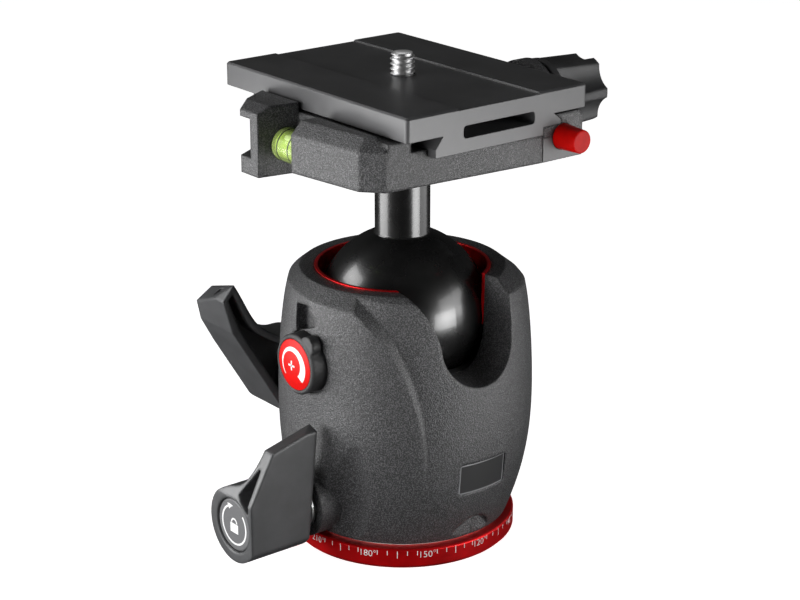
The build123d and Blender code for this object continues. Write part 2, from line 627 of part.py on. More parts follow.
# =============================================================== ball, liner and pressure cup
neck_root = ball_height + sqrt(BALL_RADIUS ** 2 - (NECK_RADIUS + NECK_FLARE) ** 2)
with BuildPart() as ball:
    ball_shape(BALL_RADIUS)
    with BuildSketch(Plane.XZ):
        with BuildLine():
            flare = ThreePointArc((NECK_RADIUS + NECK_FLARE, neck_root),
                                  (NECK_RADIUS + NECK_FLARE * 0.3, neck_root + NECK_FLARE_HEIGHT * 0.3),
                                  (NECK_RADIUS, neck_root + NECK_FLARE_HEIGHT))
            Polyline(flare @ 1, (NECK_RADIUS, CLAMP_BOTTOM - FACE_GAP), (0, CLAMP_BOTTOM - FACE_GAP),
                     (0, ball_height), (NECK_RADIUS, ball_height), flare @ 0)
        make_face()
    revolve(axis=Axis.Z)
    tube(Plane.XY, CLAMP_BOTTOM - MOUNT_BOLT_DEPTH - FACE_GAP * 5, CLAMP_BOTTOM, MOUNT_BOLT_RADIUS + RUN_GAP,
         mode=Mode.SUBTRACT)
save(ball, "ball")

with BuildPart() as ball_liner:
    ball_shape(liner_outer)
    ball_shape(liner_inner, mode=Mode.SUBTRACT)
    cone_height = BALL_RADIUS * 2
    spin([(0, ball_height), (cone_height * tan(radians(LINER_HALF_ANGLE)), ball_height - cone_height),
          (0, ball_height - cone_height)], mode=Mode.INTERSECT)
save(ball_liner, "ball_liner")

with BuildPart() as pressure_cup:
    cup_radius = BALL_CHAMBER_RADIUS - SEAT_GAP
    spin([(0, cup_bottom), (CUP_CENTRE_RADIUS, cup_bottom), (CUP_CENTRE_RADIUS, cup_floor),
          (cup_radius, cup_floor), (cup_radius, cup_top), (0, cup_top)])
    ball_shape(cup_sphere, mode=Mode.SUBTRACT)
save(pressure_cup, "pressure_cup")

spring_rise = cup_floor - ball_chamber_floor - CUP_SPRING_SHEET - SEAT_GAP
with BuildPart() as cup_spring:
    spin([(CUP_SPRING_OUTER, ball_chamber_floor), (CUP_SPRING_OUTER, ball_chamber_floor + CUP_SPRING_SHEET),
          (CUP_SPRING_INNER, ball_chamber_floor + spring_rise + CUP_SPRING_SHEET),
          (CUP_SPRING_INNER, ball_chamber_floor + spring_rise)])
save(cup_spring, "cup_spring")

ramp_centre = main_lock_height + WEDGE_RAMP_HEIGHT


def ramp_height(x):
    """Height of the wedge's sloping face at a place along X."""
    return ramp_centre - x * WEDGE_RATIO


with BuildPart() as lock_wedge:
    tube(LEFT, -WEDGE_REACH, WEDGE_TAIL, WEDGE_RADIUS, centre=(0, main_lock_height))
    above = main_lock_height + WEDGE_RADIUS * 2
    ramp_start = -(WEDGE_RADIUS - WEDGE_RAMP_HEIGHT) / WEDGE_RATIO
    prism(FRONT, -WEDGE_RADIUS * 2, WEDGE_RADIUS * 2,
          [(ramp_start, ramp_height(ramp_start)), (WEDGE_REACH * 2, ramp_height(WEDGE_REACH * 2)),
           (WEDGE_REACH * 2, above), (ramp_start, above)], mode=Mode.SUBTRACT)
save(lock_wedge, "lock_wedge")

with BuildPart() as lift_pin:
    tube(Plane.XY, main_lock_height, cup_bottom, LIFT_PIN_RADIUS)
    reach = LIFT_PIN_RADIUS * 2
    prism(FRONT, -reach, reach,
          [(-reach, ramp_height(-reach) + FACE_GAP), (reach, ramp_height(reach) + FACE_GAP),
           (reach, main_lock_height - reach), (-reach, main_lock_height - reach)], mode=Mode.SUBTRACT)
save(lift_pin, "lift_pin")

with BuildPart() as lock_block:
    block_radius = LOCK_CHAMBER_RADIUS - FACE_GAP
    tube(Plane.XY, lock_block_bottom, lock_block_top, block_radius)
    tube(Plane.XY, SPINDLE_SEAT_HEIGHT, lock_block_bottom, block_radius, block_radius - LOCK_BLOCK_SKIRT)
    tube(LEFT, -WEDGE_REACH - FACE_GAP * 5, LOCK_CHAMBER_RADIUS, WEDGE_RADIUS + RUN_GAP * 2,
         centre=(0, main_lock_height), mode=Mode.SUBTRACT)
    tube(Plane.XY, main_lock_height, lock_block_top, LIFT_PIN_RADIUS + RUN_GAP * 2, mode=Mode.SUBTRACT)
save(lock_block, "lock_block")

with BuildPart() as lock_bush:
    tube(LEFT, MAIN_BUSH_START, MAIN_BOSS_FACE, MAIN_SCREW_RADIUS + MAIN_BUSH_WALL,
         MAIN_SCREW_RADIUS + RUN_GAP, centre=(0, main_lock_height))
save(lock_bush, "lock_bush")


# =============================================================== levers
def lever_blank(plane, offset, length, hub, side, tip_side, height, thickness, waist, mode=Mode.ADD):
    """A lever around its hub: a flat side at the right and a hollow curve at the left."""
    lean = radians(118)
    start = (hub * cos(lean), hub * sin(lean))
    foot = (side, -sqrt(hub ** 2 - side ** 2))
    with BuildSketch(plane.offset(offset)) as outline:
        with BuildLine():
            Polyline(foot, (side, height * LEVER_STRAIGHT), (tip_side, height - thickness * 0.3),
                     (tip_side - thickness, height))
            Spline((tip_side - thickness, height), *waist, start,
                   tangents=((0, -1), (-sin(lean), cos(lean))))
            CenterArc((0, 0), hub, 118, 360 - 118 + degrees(atan2(foot[1], foot[0])))
        make_face()
    extrude(outline.sketch, amount=length, mode=mode)


def lever_ends(plane, points):
    """Keep what lies inside a side outline of (distance from the head, height on the lever)."""
    across = Plane(origin=plane.origin + plane.x_dir * form_reach, x_dir=plane.z_dir, z_dir=-plane.x_dir)
    with BuildSketch(across) as outline:
        with BuildLine():
            Polyline(*points, close=True)
        make_face()
    extrude(outline.sketch, amount=form_reach * 2, mode=Mode.INTERSECT)


lever_turn = radians(MAIN_LEVER_ANGLE)
pan_plane = Plane(origin=(0, 0, pan_lock_height), x_dir=(1, 0, 0), z_dir=(0, -1, 0))
main_plane = Plane(origin=(0, 0, main_lock_height), x_dir=(0, -cos(lever_turn), -sin(lever_turn)),
                   z_dir=(-1, 0, 0))
cap_bore = CAP_RADIUS + CAP_GROOVE
washer_height = FACE_GAP * 2 + LEVER_WASHER_THICKNESS
pan_waist = [(4.3, 17.2), (1.8, 11.7)]
main_waist = [(3.9, 31.5), (3.7, 25.4), (0.2, 17.3)]

with BuildPart() as pan_lever:
    lever_blank(pan_plane, PAN_LEVER_TIP_INNER, PAN_HUB_OUTER - PAN_LEVER_TIP_INNER, PAN_HUB_RADIUS,
                PAN_BLADE_SIDE, PAN_BLADE_SIDE, PAN_LEVER_HEIGHT, PAN_BLADE_THICKNESS, pan_waist)
    lever_ends(pan_plane, [
        (PAN_LEVER_HEEL_INNER, -PAN_HUB_RADIUS - 1), (PAN_LEVER_TIP_INNER, PAN_LEVER_HEIGHT),
        (PAN_LEVER_TIP_OUTER, PAN_LEVER_HEIGHT - PAN_LEVER_TIP_DROP), (PAN_HUB_OUTER, PAN_HUB_RADIUS * 0.75),
        (PAN_HUB_OUTER, -PAN_HUB_RADIUS - 1)])
    tube(pan_plane, PAN_BOSS_FACE + washer_height, PAN_HUB_OUTER - CAP_THICKNESS * 2, LEVER_WASHER_RADIUS)
    tube(pan_plane, PAN_HUB_OUTER - CAP_THICKNESS - CAP_SINK, PAN_HUB_OUTER, cap_bore, mode=Mode.SUBTRACT)
    tube(pan_plane, PAN_BOSS_FACE, PAN_HUB_OUTER, PAN_SCREW_RADIUS + PRESS_GAP, mode=Mode.SUBTRACT)
    with BuildSketch(pan_plane.offset(PAN_HUB_OUTER)):
        with BuildLine():
            Polyline((6.2, 17.4), (1.7, 9.0), (7.0, 4.6), close=True)
        make_face()
        fillet(vertices(), LEVER_EDGE)
    extrude(amount=-(PAN_HUB_OUTER - PAN_LEVER_HEEL_INNER - LEVER_WALL * 2), mode=Mode.SUBTRACT)
save(pan_lever, "pan_lever")

with BuildPart() as lock_lever:
    lever_blank(main_plane, MAIN_LEVER_INNER, MAIN_HUB_OUTER - MAIN_LEVER_INNER, MAIN_HUB_RADIUS,
                MAIN_BLADE_SIDE, MAIN_TIP_SIDE, MAIN_LEVER_HEIGHT, MAIN_TIP_THICKNESS, main_waist)
    inner_waist = [(x + LEVER_WALL * 0.9, y - LEVER_WALL * 0.6) for x, y in main_waist]
    lever_blank(main_plane, MAIN_LEVER_INNER, MAIN_HOLLOW_DEPTH, MAIN_HUB_RADIUS - LEVER_WALL,
                MAIN_BLADE_SIDE - LEVER_WALL - 0.4, MAIN_TIP_SIDE - LEVER_WALL * 0.8,
                MAIN_LEVER_HEIGHT - LEVER_WALL, MAIN_TIP_THICKNESS - LEVER_WALL * 1.6, inner_waist,
                mode=Mode.SUBTRACT)
    lever_ends(main_plane, [
        (MAIN_LEVER_INNER, -MAIN_HUB_RADIUS - 1), (MAIN_LEVER_INNER, MAIN_LEVER_HEIGHT),
        (MAIN_LEVER_TIP_OUTER, MAIN_LEVER_HEIGHT - MAIN_LEVER_TIP_DROP),
        (MAIN_HUB_OUTER, MAIN_LEVER_HEIGHT * 0.5), (MAIN_HUB_OUTER, -MAIN_HUB_RADIUS - 1)])
    tube(main_plane, MAIN_BOSS_FACE + washer_height, MAIN_HUB_OUTER - CAP_THICKNESS * 2, LEVER_WASHER_RADIUS)
    tube(main_plane, MAIN_HUB_OUTER - CAP_THICKNESS - CAP_SINK, MAIN_HUB_OUTER, cap_bore, mode=Mode.SUBTRACT)
    tube(main_plane, MAIN_BOSS_FACE, MAIN_HUB_OUTER, MAIN_SCREW_RADIUS + PRESS_GAP, mode=Mode.SUBTRACT)
save(lock_lever, "lock_lever")

pan_screw_start = pan_shoe_end + PAN_SCREW_RELIEF
main_screw_start = WEDGE_TAIL + MAIN_SCREW_RELIEF
for name, plane, outer, boss_face, screw_radius, screw_start in (
        ("pan", pan_plane, PAN_HUB_OUTER, PAN_BOSS_FACE, PAN_SCREW_RADIUS, pan_screw_start),
        ("lock", main_plane, MAIN_HUB_OUTER, MAIN_BOSS_FACE, MAIN_SCREW_RADIUS, main_screw_start)):
    cap_floor = outer - CAP_THICKNESS - CAP_SINK
    with BuildPart() as lever_cap:
        tube(plane, cap_floor, cap_floor + CAP_THICKNESS, CAP_RADIUS)
        chamfer(lever_cap.faces().sort_by(Axis(plane.origin, plane.z_dir))[-1].edges(), CAP_SINK)
    save(lever_cap, f"{name}_lever_cap")
    with BuildPart() as lever_washer:
        tube(plane, boss_face + FACE_GAP, boss_face + FACE_GAP + LEVER_WASHER_THICKNESS, LEVER_WASHER_RADIUS,
             screw_radius + RUN_GAP)
    save(lever_washer, f"{name}_lever_washer")
    with BuildPart() as lever_screw:
        tube(plane, screw_start, cap_floor, screw_radius)
        chamfer(lever_screw.faces().sort_by(Axis(plane.origin, plane.z_dir))[0].edges(), LEVER_EDGE)
    save(lever_screw, f"{name}_screw")

with BuildPart() as pan_lock_bush:
    tube(FRONT, pan_bush_start, PAN_BOSS_FACE, PAN_SCREW_RADIUS + PAN_BUSH_WALL, PAN_SCREW_RADIUS + RUN_GAP,
         centre=(0, pan_lock_height))
save(pan_lock_bush, "pan_lock_bush")

with BuildPart() as pan_brake_shoe:
    tube(FRONT, SPINDLE_RADIUS / 2, pan_shoe_end, PAN_SHOE_RADIUS, centre=(0, pan_lock_height))
    tube(Plane.XY, 0, ball_chamber_floor, SPINDLE_RADIUS + SEAT_GAP, mode=Mode.SUBTRACT)
save(pan_brake_shoe, "pan_brake_shoe")


# =============================================================== friction knob
pad_face = sqrt((BALL_RADIUS + SEAT_GAP) ** 2 - (ball_height - friction_height) ** 2)
pad_end = pad_face + FRICTION_PAD_LENGTH
friction_centre = (0, friction_height)
lug_low = PANEL_FLAT + SEAT_GAP * 2
emblem_seat = FRICTION_FACE - EMBLEM_SEAT_DEPTH

with BuildPart() as friction_knob:
    tube(FRONT, FRICTION_SEAT + FACE_GAP * 2, FRICTION_FACE, FRICTION_KNOB_RADIUS, centre=friction_centre)
    chamfer(friction_knob.faces().sort_by(Axis.Y)[0].edges(), LEVER_EDGE)
    with BuildSketch(FRONT.offset(lug_low)):
        with Locations(Location((0, friction_height, 0), (0, 0, LUG_ANGLE))):
            with Locations((LUG_REACH - LUG_RADIUS, 0)):
                Circle(LUG_RADIUS)
            with Locations((LUG_REACH / 2 - LUG_RADIUS / 2, 0)):
                Rectangle(LUG_REACH - LUG_RADIUS, LUG_RADIUS * 2)
    extrude(amount=LUG_LENGTH)
    tube(FRONT, emblem_seat, FRICTION_FACE, EMBLEM_RADIUS + FACE_GAP, centre=friction_centre,
         mode=Mode.SUBTRACT)
    tube(FRONT, FRICTION_SEAT, FRICTION_FACE, FRICTION_SCREW_RADIUS + PRESS_GAP, centre=friction_centre,
         mode=Mode.SUBTRACT)
save(friction_knob, "friction_knob")

with BuildPart() as friction_emblem:
    with BuildSketch(Plane.XY.offset(friction_height)):
        with BuildLine():
            dome = RadiusArc((EMBLEM_RADIUS, -FRICTION_FACE), (0, -FRICTION_FACE - EMBLEM_DOME),
                             (EMBLEM_RADIUS ** 2 + EMBLEM_DOME ** 2) / (2 * EMBLEM_DOME))
            Polyline(dome @ 1, (0, -emblem_seat), (EMBLEM_RADIUS, -emblem_seat), dome @ 0)
        make_face()
    revolve(axis=Axis((0, 0, friction_height), (0, 1, 0)))
save(friction_emblem, "friction_emblem")

with BuildPart() as friction_screw:
    tube(FRONT, pad_end + FRICTION_SCREW_RELIEF, emblem_seat, FRICTION_SCREW_RADIUS, centre=friction_centre)
save(friction_screw, "friction_screw")

with BuildPart() as friction_pad:
    tube(FRONT, pad_face / 2, pad_end, FRICTION_SCREW_RADIUS, centre=friction_centre)
    ball_shape(BALL_RADIUS + SEAT_GAP, mode=Mode.SUBTRACT)
save(friction_pad, "friction_pad")


# =============================================================== camera plate
plate_bottom = PLATE_TOP - PLATE_THICKNESS
foot_bottom = CLAMP_FLOOR + FACE_GAP
half_width = PLATE_WIDTH / 2
half_length = PLATE_LENGTH / 2
left_lip_top = foot_bottom + FOOT_LIP
right_lip_top = FOOT_RIGHT_LIP_BOTTOM + FOOT_RIGHT_LIP
flank_run = FOOT_HALF_WIDTH - FOOT_NECK_HALF_WIDTH
head_bottom = foot_bottom + SEAT_GAP
head_top = head_bottom + CAMERA_SCREW_HEAD_HEIGHT

with BuildPart() as camera_plate:
    prism(RIGHT, -half_length, half_length, [(-half_width, plate_bottom), (half_width, plate_bottom),
                                             (half_width, PLATE_TOP), (-half_width, PLATE_TOP)])
    fillet(camera_plate.edges().filter_by(Axis.Z), PLATE_EDGE * 2)
    chamfer(camera_plate.faces().sort_by(Axis.Z)[-1].edges(), PLATE_EDGE)
    prism(RIGHT, -half_length, half_length, [
        (-FOOT_NECK_HALF_WIDTH, plate_bottom), (-FOOT_HALF_WIDTH, left_lip_top),
        (-FOOT_HALF_WIDTH, foot_bottom), (CLAMP_SPLIT, foot_bottom), (CLAMP_SPLIT, FOOT_RIGHT_LIP_BOTTOM),
        (FOOT_HALF_WIDTH, FOOT_RIGHT_LIP_BOTTOM), (FOOT_HALF_WIDTH, right_lip_top),
        (FOOT_NECK_HALF_WIDTH, plate_bottom)])
    prism(RIGHT, -half_length, half_length, [
        (-CHANNEL_HALF_WIDTH, PLATE_TOP - CHANNEL_DEPTH), (CHANNEL_HALF_WIDTH, PLATE_TOP - CHANNEL_DEPTH),
        (CHANNEL_HALF_WIDTH, PLATE_TOP + 1), (-CHANNEL_HALF_WIDTH, PLATE_TOP + 1)], mode=Mode.SUBTRACT)
    for end, depth in ((RIGHT, END_SLOT_DEPTH), (LEFT, END_SLOT_DEPTH)):
        with BuildSketch(end.offset(half_length)):
            with Locations((0, END_SLOT_LEVEL)):
                RectangleRounded(END_SLOT_WIDTH, END_SLOT_HEIGHT, END_SLOT_HEIGHT * 0.3)
        extrude(amount=-depth, mode=Mode.SUBTRACT)
    tube(Plane.XY, foot_bottom, head_top + FACE_GAP, CAMERA_SCREW_HEAD_RADIUS + FACE_GAP, mode=Mode.SUBTRACT)
    tube(Plane.XY, foot_bottom, PLATE_TOP, CAMERA_SCREW_RADIUS + RUN_GAP, mode=Mode.SUBTRACT)
save(camera_plate, "camera_plate")

with BuildPart() as camera_screw:
    tube(Plane.XY, head_bottom, head_top, CAMERA_SCREW_HEAD_RADIUS)
    tube(Plane.XY, head_bottom, PLATE_TOP, CAMERA_SCREW_NECK_RADIUS)
    tube(Plane.XY, PLATE_TOP, PLATE_TOP + CAMERA_SCREW_STAND, CAMERA_SCREW_RADIUS)
    chamfer(camera_screw.faces().sort_by(Axis.Z)[-1].edges(), PLATE_EDGE)
    with BuildSketch(Plane.XY.offset(head_bottom)):
        Rectangle(CAMERA_SCREW_HEAD_RADIUS * 3, CAMERA_SCREW_SLOT)
    extrude(amount=CAMERA_SCREW_HEAD_HEIGHT / 2, mode=Mode.SUBTRACT)
save(camera_screw, "camera_screw")


# =============================================================== quick-release clamp
level_low = LEVEL_TOP - LEVEL_CHAMFER
level_corner_x = LEVEL_RIGHT - LEVEL_CORNER_CUT
rail_gap = SEAT_GAP
left_flank = flank_run / (plate_bottom - left_lip_top)
rail_flank_top = FOOT_HALF_WIDTH + rail_gap - (RAIL_TOP - left_lip_top) * left_flank
jaw_face = CLAMP_SPLIT + SPLIT_GAP
spring_start = jaw_face + GUIDE_SPRING_SEAT - FACE_GAP - GUIDE_SPRING_LENGTH
spring_radius = GUIDE_PIN_RADIUS + RUN_GAP * 4 + GUIDE_SPRING_WIRE
spring_bore = spring_radius + GUIDE_SPRING_WIRE + FACE_GAP * 2
guide_centres = [(side * GUIDE_PIN_SPACING / 2, GUIDE_PIN_HEIGHT) for side in (-1, 1)]
bolt_head_top = CLAMP_FLOOR - MOUNT_BOLT_SINK
bolt_head_bottom = bolt_head_top - MOUNT_BOLT_HEAD_HEIGHT
vial_centre = (-VIAL_SIDE, VIAL_HEIGHT)
vial_end = VIAL_START + VIAL_LENGTH
clamp_plan = [(CLAMP_END, CLAMP_SPLIT), (LEVEL_RIGHT, -LEVEL_SIDE), (LEVEL_LEFT, -LEVEL_SIDE),
              (LEVEL_LEFT, -RAIL_OUTER), (-BRACKET_ROOT_LEFT, -RAIL_OUTER), (-CLAMP_BACK, -5),
              (-CLAMP_BACK, CLAMP_SPLIT)]

with BuildPart() as level_cap:
    with BuildSketch(Plane.XY.offset(level_low)):
        with BuildLine():
            Polyline((0, -LEVEL_FRONT - 0.8), (level_corner_x, -LEVEL_CORNER), (LEVEL_RIGHT, -LEVEL_SIDE),
                     (LEVEL_RIGHT + 2, -LEVEL_SIDE / 2), (0, -LEVEL_SIDE / 2), close=True)
        make_face()
    extrude(amount=LEVEL_CHAMFER, taper=45)
    prism(Plane.XY, level_low, LEVEL_TOP, [(LEVEL_LEFT, -60), (60, -60), (60, -LEVEL_RIM_BACK),
                                           (LEVEL_LEFT, -LEVEL_RIM_BACK)], mode=Mode.INTERSECT)

with BuildPart() as rail:
    prism(RIGHT, -CLAMP_BACK, CLAMP_END, [
        (-LEVEL_RIM_BACK, CLAMP_FLOOR), (-LEVEL_RIM_BACK, RAIL_TOP), (-rail_flank_top, RAIL_TOP),
        (-FOOT_HALF_WIDTH - rail_gap, left_lip_top), (-FOOT_HALF_WIDTH - rail_gap, CLAMP_FLOOR)])
    prism(Plane.XY, CLAMP_FLOOR, RAIL_TOP, clamp_plan, mode=Mode.INTERSECT)
    prism(RIGHT, RAIL_END_START, CLAMP_END * 2, [
        (-LEVEL_RIM_BACK + LEVEL_CHAMFER * 2, RAIL_END_STEP), (0, RAIL_END_STEP), (0, RAIL_TOP * 2),
        (-LEVEL_RIM_BACK + LEVEL_CHAMFER * 2, RAIL_TOP * 2)], mode=Mode.SUBTRACT)

with BuildPart() as bracket:
    prism(Plane.XY, BRACKET_BOTTOM, BRACKET_TOP, [
        (-BRACKET_ROOT_RIGHT, -RAIL_OUTER), (-BRACKET_RIGHT, -BRACKET_FRONT), (-BRACKET_LEFT, -BRACKET_FRONT),
        (-BRACKET_ROOT_LEFT, -RAIL_OUTER)])
    chamfer(bracket.edges().filter_by(Axis.X).sort_by(Axis.Z)[-2:].sort_by(Axis.Y)[0], BRACKET_CHAMFER / 2,
            BRACKET_CHAMFER)
    prism(Plane.XY, BRACKET_GROOVE_LOW, BRACKET_GROOVE_HIGH, [
        (-BRACKET_RIGHT - BRACKET_WEB, -BRACKET_FRONT - 1), (-BRACKET_ROOT_RIGHT - BRACKET_WEB, -RAIL_OUTER),
        (-BRACKET_ROOT_LEFT - 1, -RAIL_OUTER), (-BRACKET_ROOT_LEFT - 1, -BRACKET_FRONT - 1)],
        mode=Mode.SUBTRACT)

with BuildPart() as clamp_base:
    prism(Plane.XY, CLAMP_BOTTOM, CLAMP_FLOOR, clamp_plan)
    prism(Plane.XY, CLAMP_BOTTOM, level_low, [
        (LEVEL_LEFT, -RAIL_OUTER), (LEVEL_LEFT, -LEVEL_FRONT), (level_corner_x, -LEVEL_CORNER),
        (LEVEL_RIGHT, -LEVEL_SIDE), (LEVEL_RIGHT, -RAIL_OUTER)])
    add(level_cap.part)
    add(rail.part)
    add(bracket.part)
    tube(RIGHT, VIAL_START - FACE_GAP, vial_end + FACE_GAP, VIAL_RADIUS + RUN_GAP, centre=vial_centre,
         mode=Mode.SUBTRACT)
    tube(Plane.XY, bolt_head_bottom - FACE_GAP, CLAMP_FLOOR, MOUNT_BOLT_HEAD_RADIUS + FACE_GAP,
         mode=Mode.SUBTRACT)
    tube(Plane.XY, CLAMP_BOTTOM, CLAMP_FLOOR, MOUNT_BOLT_RADIUS + RUN_GAP, mode=Mode.SUBTRACT)
    tube(BACK, DRAW_SCREW_START - FACE_GAP * 5, CLAMP_SPLIT, DRAW_SCREW_RADIUS + RUN_GAP,
         centre=(0, KNOB_HEIGHT), mode=Mode.SUBTRACT)
    for guide_centre in guide_centres:
        tube(BACK, GUIDE_PIN_START - PRESS_GAP, CLAMP_SPLIT, GUIDE_PIN_RADIUS + PRESS_GAP,
             centre=guide_centre, mode=Mode.SUBTRACT)
        tube(BACK, spring_start - FACE_GAP, CLAMP_SPLIT, spring_bore, centre=guide_centre, mode=Mode.SUBTRACT)
save(clamp_base, "clamp_base")

with BuildPart() as mount_bolt:
    tube(Plane.XY, bolt_head_bottom, bolt_head_top, MOUNT_BOLT_HEAD_RADIUS)
    tube(Plane.XY, CLAMP_BOTTOM - MOUNT_BOLT_DEPTH, bolt_head_bottom, MOUNT_BOLT_RADIUS)
    with BuildSketch(Plane.XY.offset(bolt_head_top)):
        RegularPolygon(MOUNT_BOLT_KEY, 6)
    extrude(amount=-MOUNT_BOLT_HEAD_HEIGHT * 0.6, mode=Mode.SUBTRACT)
save(mount_bolt, "mount_bolt")

with BuildPart() as guide_pins:
    for guide_centre in guide_centres:
        tube(BACK, GUIDE_PIN_START, GUIDE_PIN_END, GUIDE_PIN_RADIUS, centre=guide_centre)
save(guide_pins, "guide_pins")

with BuildPart() as jaw_springs:
    for guide_centre in guide_centres:
        spring(BACK, spring_start, GUIDE_SPRING_LENGTH, spring_radius, GUIDE_SPRING_WIRE, GUIDE_SPRING_TURNS,
               guide_centre)
save(jaw_springs, "jaw_springs")

with BuildPart() as level_vial:
    tube(RIGHT, VIAL_START, vial_end, VIAL_RADIUS, centre=vial_centre)
    fillet(level_vial.faces().sort_by(Axis.X)[0].edges(), VIAL_WALL)
    tube(RIGHT, VIAL_START + VIAL_WALL, vial_end - VIAL_WALL, VIAL_RADIUS - VIAL_WALL, centre=vial_centre,
         mode=Mode.SUBTRACT)
save(level_vial, "level_vial")

with BuildPart() as vial_liquid:
    tube(RIGHT, VIAL_START + VIAL_WALL + PRESS_GAP, vial_end - VIAL_WALL - PRESS_GAP,
         VIAL_RADIUS - VIAL_WALL - PRESS_GAP, centre=vial_centre)
save(vial_liquid, "vial_liquid")


# =============================================================== moving jaw and release button
right_flank = flank_run / (plate_bottom - right_lip_top)
jaw_flank_top = FOOT_HALF_WIDTH + rail_gap - (JAW_TOP - right_lip_top) * right_flank
jaw_step = FOOT_RIGHT_LIP_BOTTOM - FACE_GAP * 1.5
button_centre = (BUTTON_SIDE, BUTTON_HEIGHT)
button_bore = BUTTON_RADIUS + FACE_GAP
shank_start = BUTTON_BUSH_START - FACE_GAP - BUTTON_CLIP_THICKNESS - SEAT_GAP
bore_start = shank_start - BUTTON_TRAVEL - FACE_GAP * 2
end_block_outline = [(jaw_face, CLAMP_BOTTOM), (JAW_OUTER, CLAMP_BOTTOM), (JAW_OUTER, END_BLOCK_TOP),
                     (jaw_face, END_BLOCK_TOP)]

with BuildPart() as jaw:
    prism(RIGHT, -JAW_BACK, CLAMP_END, [
        (jaw_face, CLAMP_BOTTOM), (JAW_OUTER, CLAMP_BOTTOM), (JAW_OUTER, JAW_TOP - JAW_EDGE),
        (JAW_OUTER - JAW_EDGE, JAW_TOP), (jaw_flank_top, JAW_TOP),
        (FOOT_HALF_WIDTH + rail_gap, right_lip_top), (FOOT_HALF_WIDTH + rail_gap, jaw_step),
        (jaw_face, jaw_step)])
    prism(Plane.XY, CLAMP_BOTTOM, JAW_ARM_TOP, [
        (-JAW_BACK, JAW_OUTER), (-JAW_ARM_HALF_WIDTH, JAW_ARM_END), (JAW_ARM_HALF_WIDTH, JAW_ARM_END),
        (END_BLOCK_START, JAW_OUTER)])
    tube(BACK, BOSS_START, BOSS_END, BOSS_RADIUS, centre=(0, KNOB_HEIGHT))
    prism(RIGHT, END_BLOCK_START, CLAMP_END, end_block_outline, mode=Mode.SUBTRACT)
    tube(RIGHT, bore_start, CLAMP_END, button_bore, centre=button_centre, mode=Mode.SUBTRACT)
    tube(BACK, jaw_face, BOSS_END, DRAW_SCREW_RADIUS + RUN_GAP, centre=(0, KNOB_HEIGHT), mode=Mode.SUBTRACT)
    for guide_centre in guide_centres:
        tube(BACK, jaw_face, GUIDE_PIN_END + FACE_GAP * 5, GUIDE_PIN_RADIUS + RUN_GAP, centre=guide_centre,
             mode=Mode.SUBTRACT)
        tube(BACK, jaw_face, jaw_face + GUIDE_SPRING_SEAT, spring_bore, centre=guide_centre,
             mode=Mode.SUBTRACT)
save(jaw, "jaw")

with BuildPart() as jaw_end_block:
    prism(RIGHT, END_BLOCK_START + PRESS_GAP, CLAMP_END, end_block_outline)
    tube(RIGHT, END_BLOCK_START, CLAMP_END, button_bore, centre=button_centre, mode=Mode.SUBTRACT)
save(jaw_end_block, "jaw_end_block")

with BuildPart() as release_button:
    tube(RIGHT, shank_start, BUTTON_HEAD_START, BUTTON_SHANK_RADIUS, centre=button_centre)
    tube(RIGHT, BUTTON_HEAD_START, CLAMP_END, BUTTON_RADIUS, centre=button_centre)
    for distance, radius in ((CLAMP_END, BUTTON_RADIUS), (BUTTON_END, BUTTON_END_RADIUS)):
        with BuildSketch(RIGHT.offset(distance)):
            with Locations(button_centre):
                Circle(radius)
    loft()
    fillet(release_button.faces().sort_by(Axis.X)[-1].edges(), LEVER_EDGE)
    tube(RIGHT, BUTTON_BUSH_START - FACE_GAP - BUTTON_CLIP_THICKNESS, BUTTON_BUSH_START - FACE_GAP,
         BUTTON_SHANK_RADIUS * 2, BUTTON_SHANK_RADIUS - LEVER_EDGE, centre=button_centre, mode=Mode.SUBTRACT)
save(release_button, "release_button")

with BuildPart() as button_clip:
    tube(RIGHT, BUTTON_BUSH_START - FACE_GAP - BUTTON_CLIP_THICKNESS, BUTTON_BUSH_START - FACE_GAP,
         BUTTON_RADIUS - FACE_GAP, BUTTON_SHANK_RADIUS - LEVER_EDGE + PRESS_GAP, centre=button_centre)
save(button_clip, "button_clip")

with BuildPart() as button_bush:
    tube(RIGHT, BUTTON_BUSH_START, BUTTON_BUSH_END, button_bore - PRESS_GAP, BUTTON_SHANK_RADIUS + RUN_GAP,
         centre=button_centre)
save(button_bush, "button_bush")

with BuildPart() as button_spring:
    spring_length = BUTTON_HEAD_START - BUTTON_TRAVEL - BUTTON_BUSH_END - FACE_GAP * 2
    coil_radius = button_bore - BUTTON_SPRING_WIRE - FACE_GAP
    spring(RIGHT, BUTTON_BUSH_END + PRESS_GAP, spring_length, coil_radius, BUTTON_SPRING_WIRE,
           BUTTON_SPRING_TURNS, button_centre)
save(button_spring, "button_spring")

with BuildPart() as draw_screw:
    tube(BACK, DRAW_SCREW_START, KNOB_END - KNOB_COLLAR * 2, DRAW_SCREW_RADIUS, centre=(0, KNOB_HEIGHT))
save(draw_screw, "draw_screw")

with BuildPart() as knob_washer:
    tube(BACK, BOSS_END + FACE_GAP, KNOB_START - FACE_GAP, BOSS_RADIUS * 0.7, DRAW_SCREW_RADIUS + RUN_GAP,
         centre=(0, KNOB_HEIGHT))
save(knob_washer, "knob_washer")

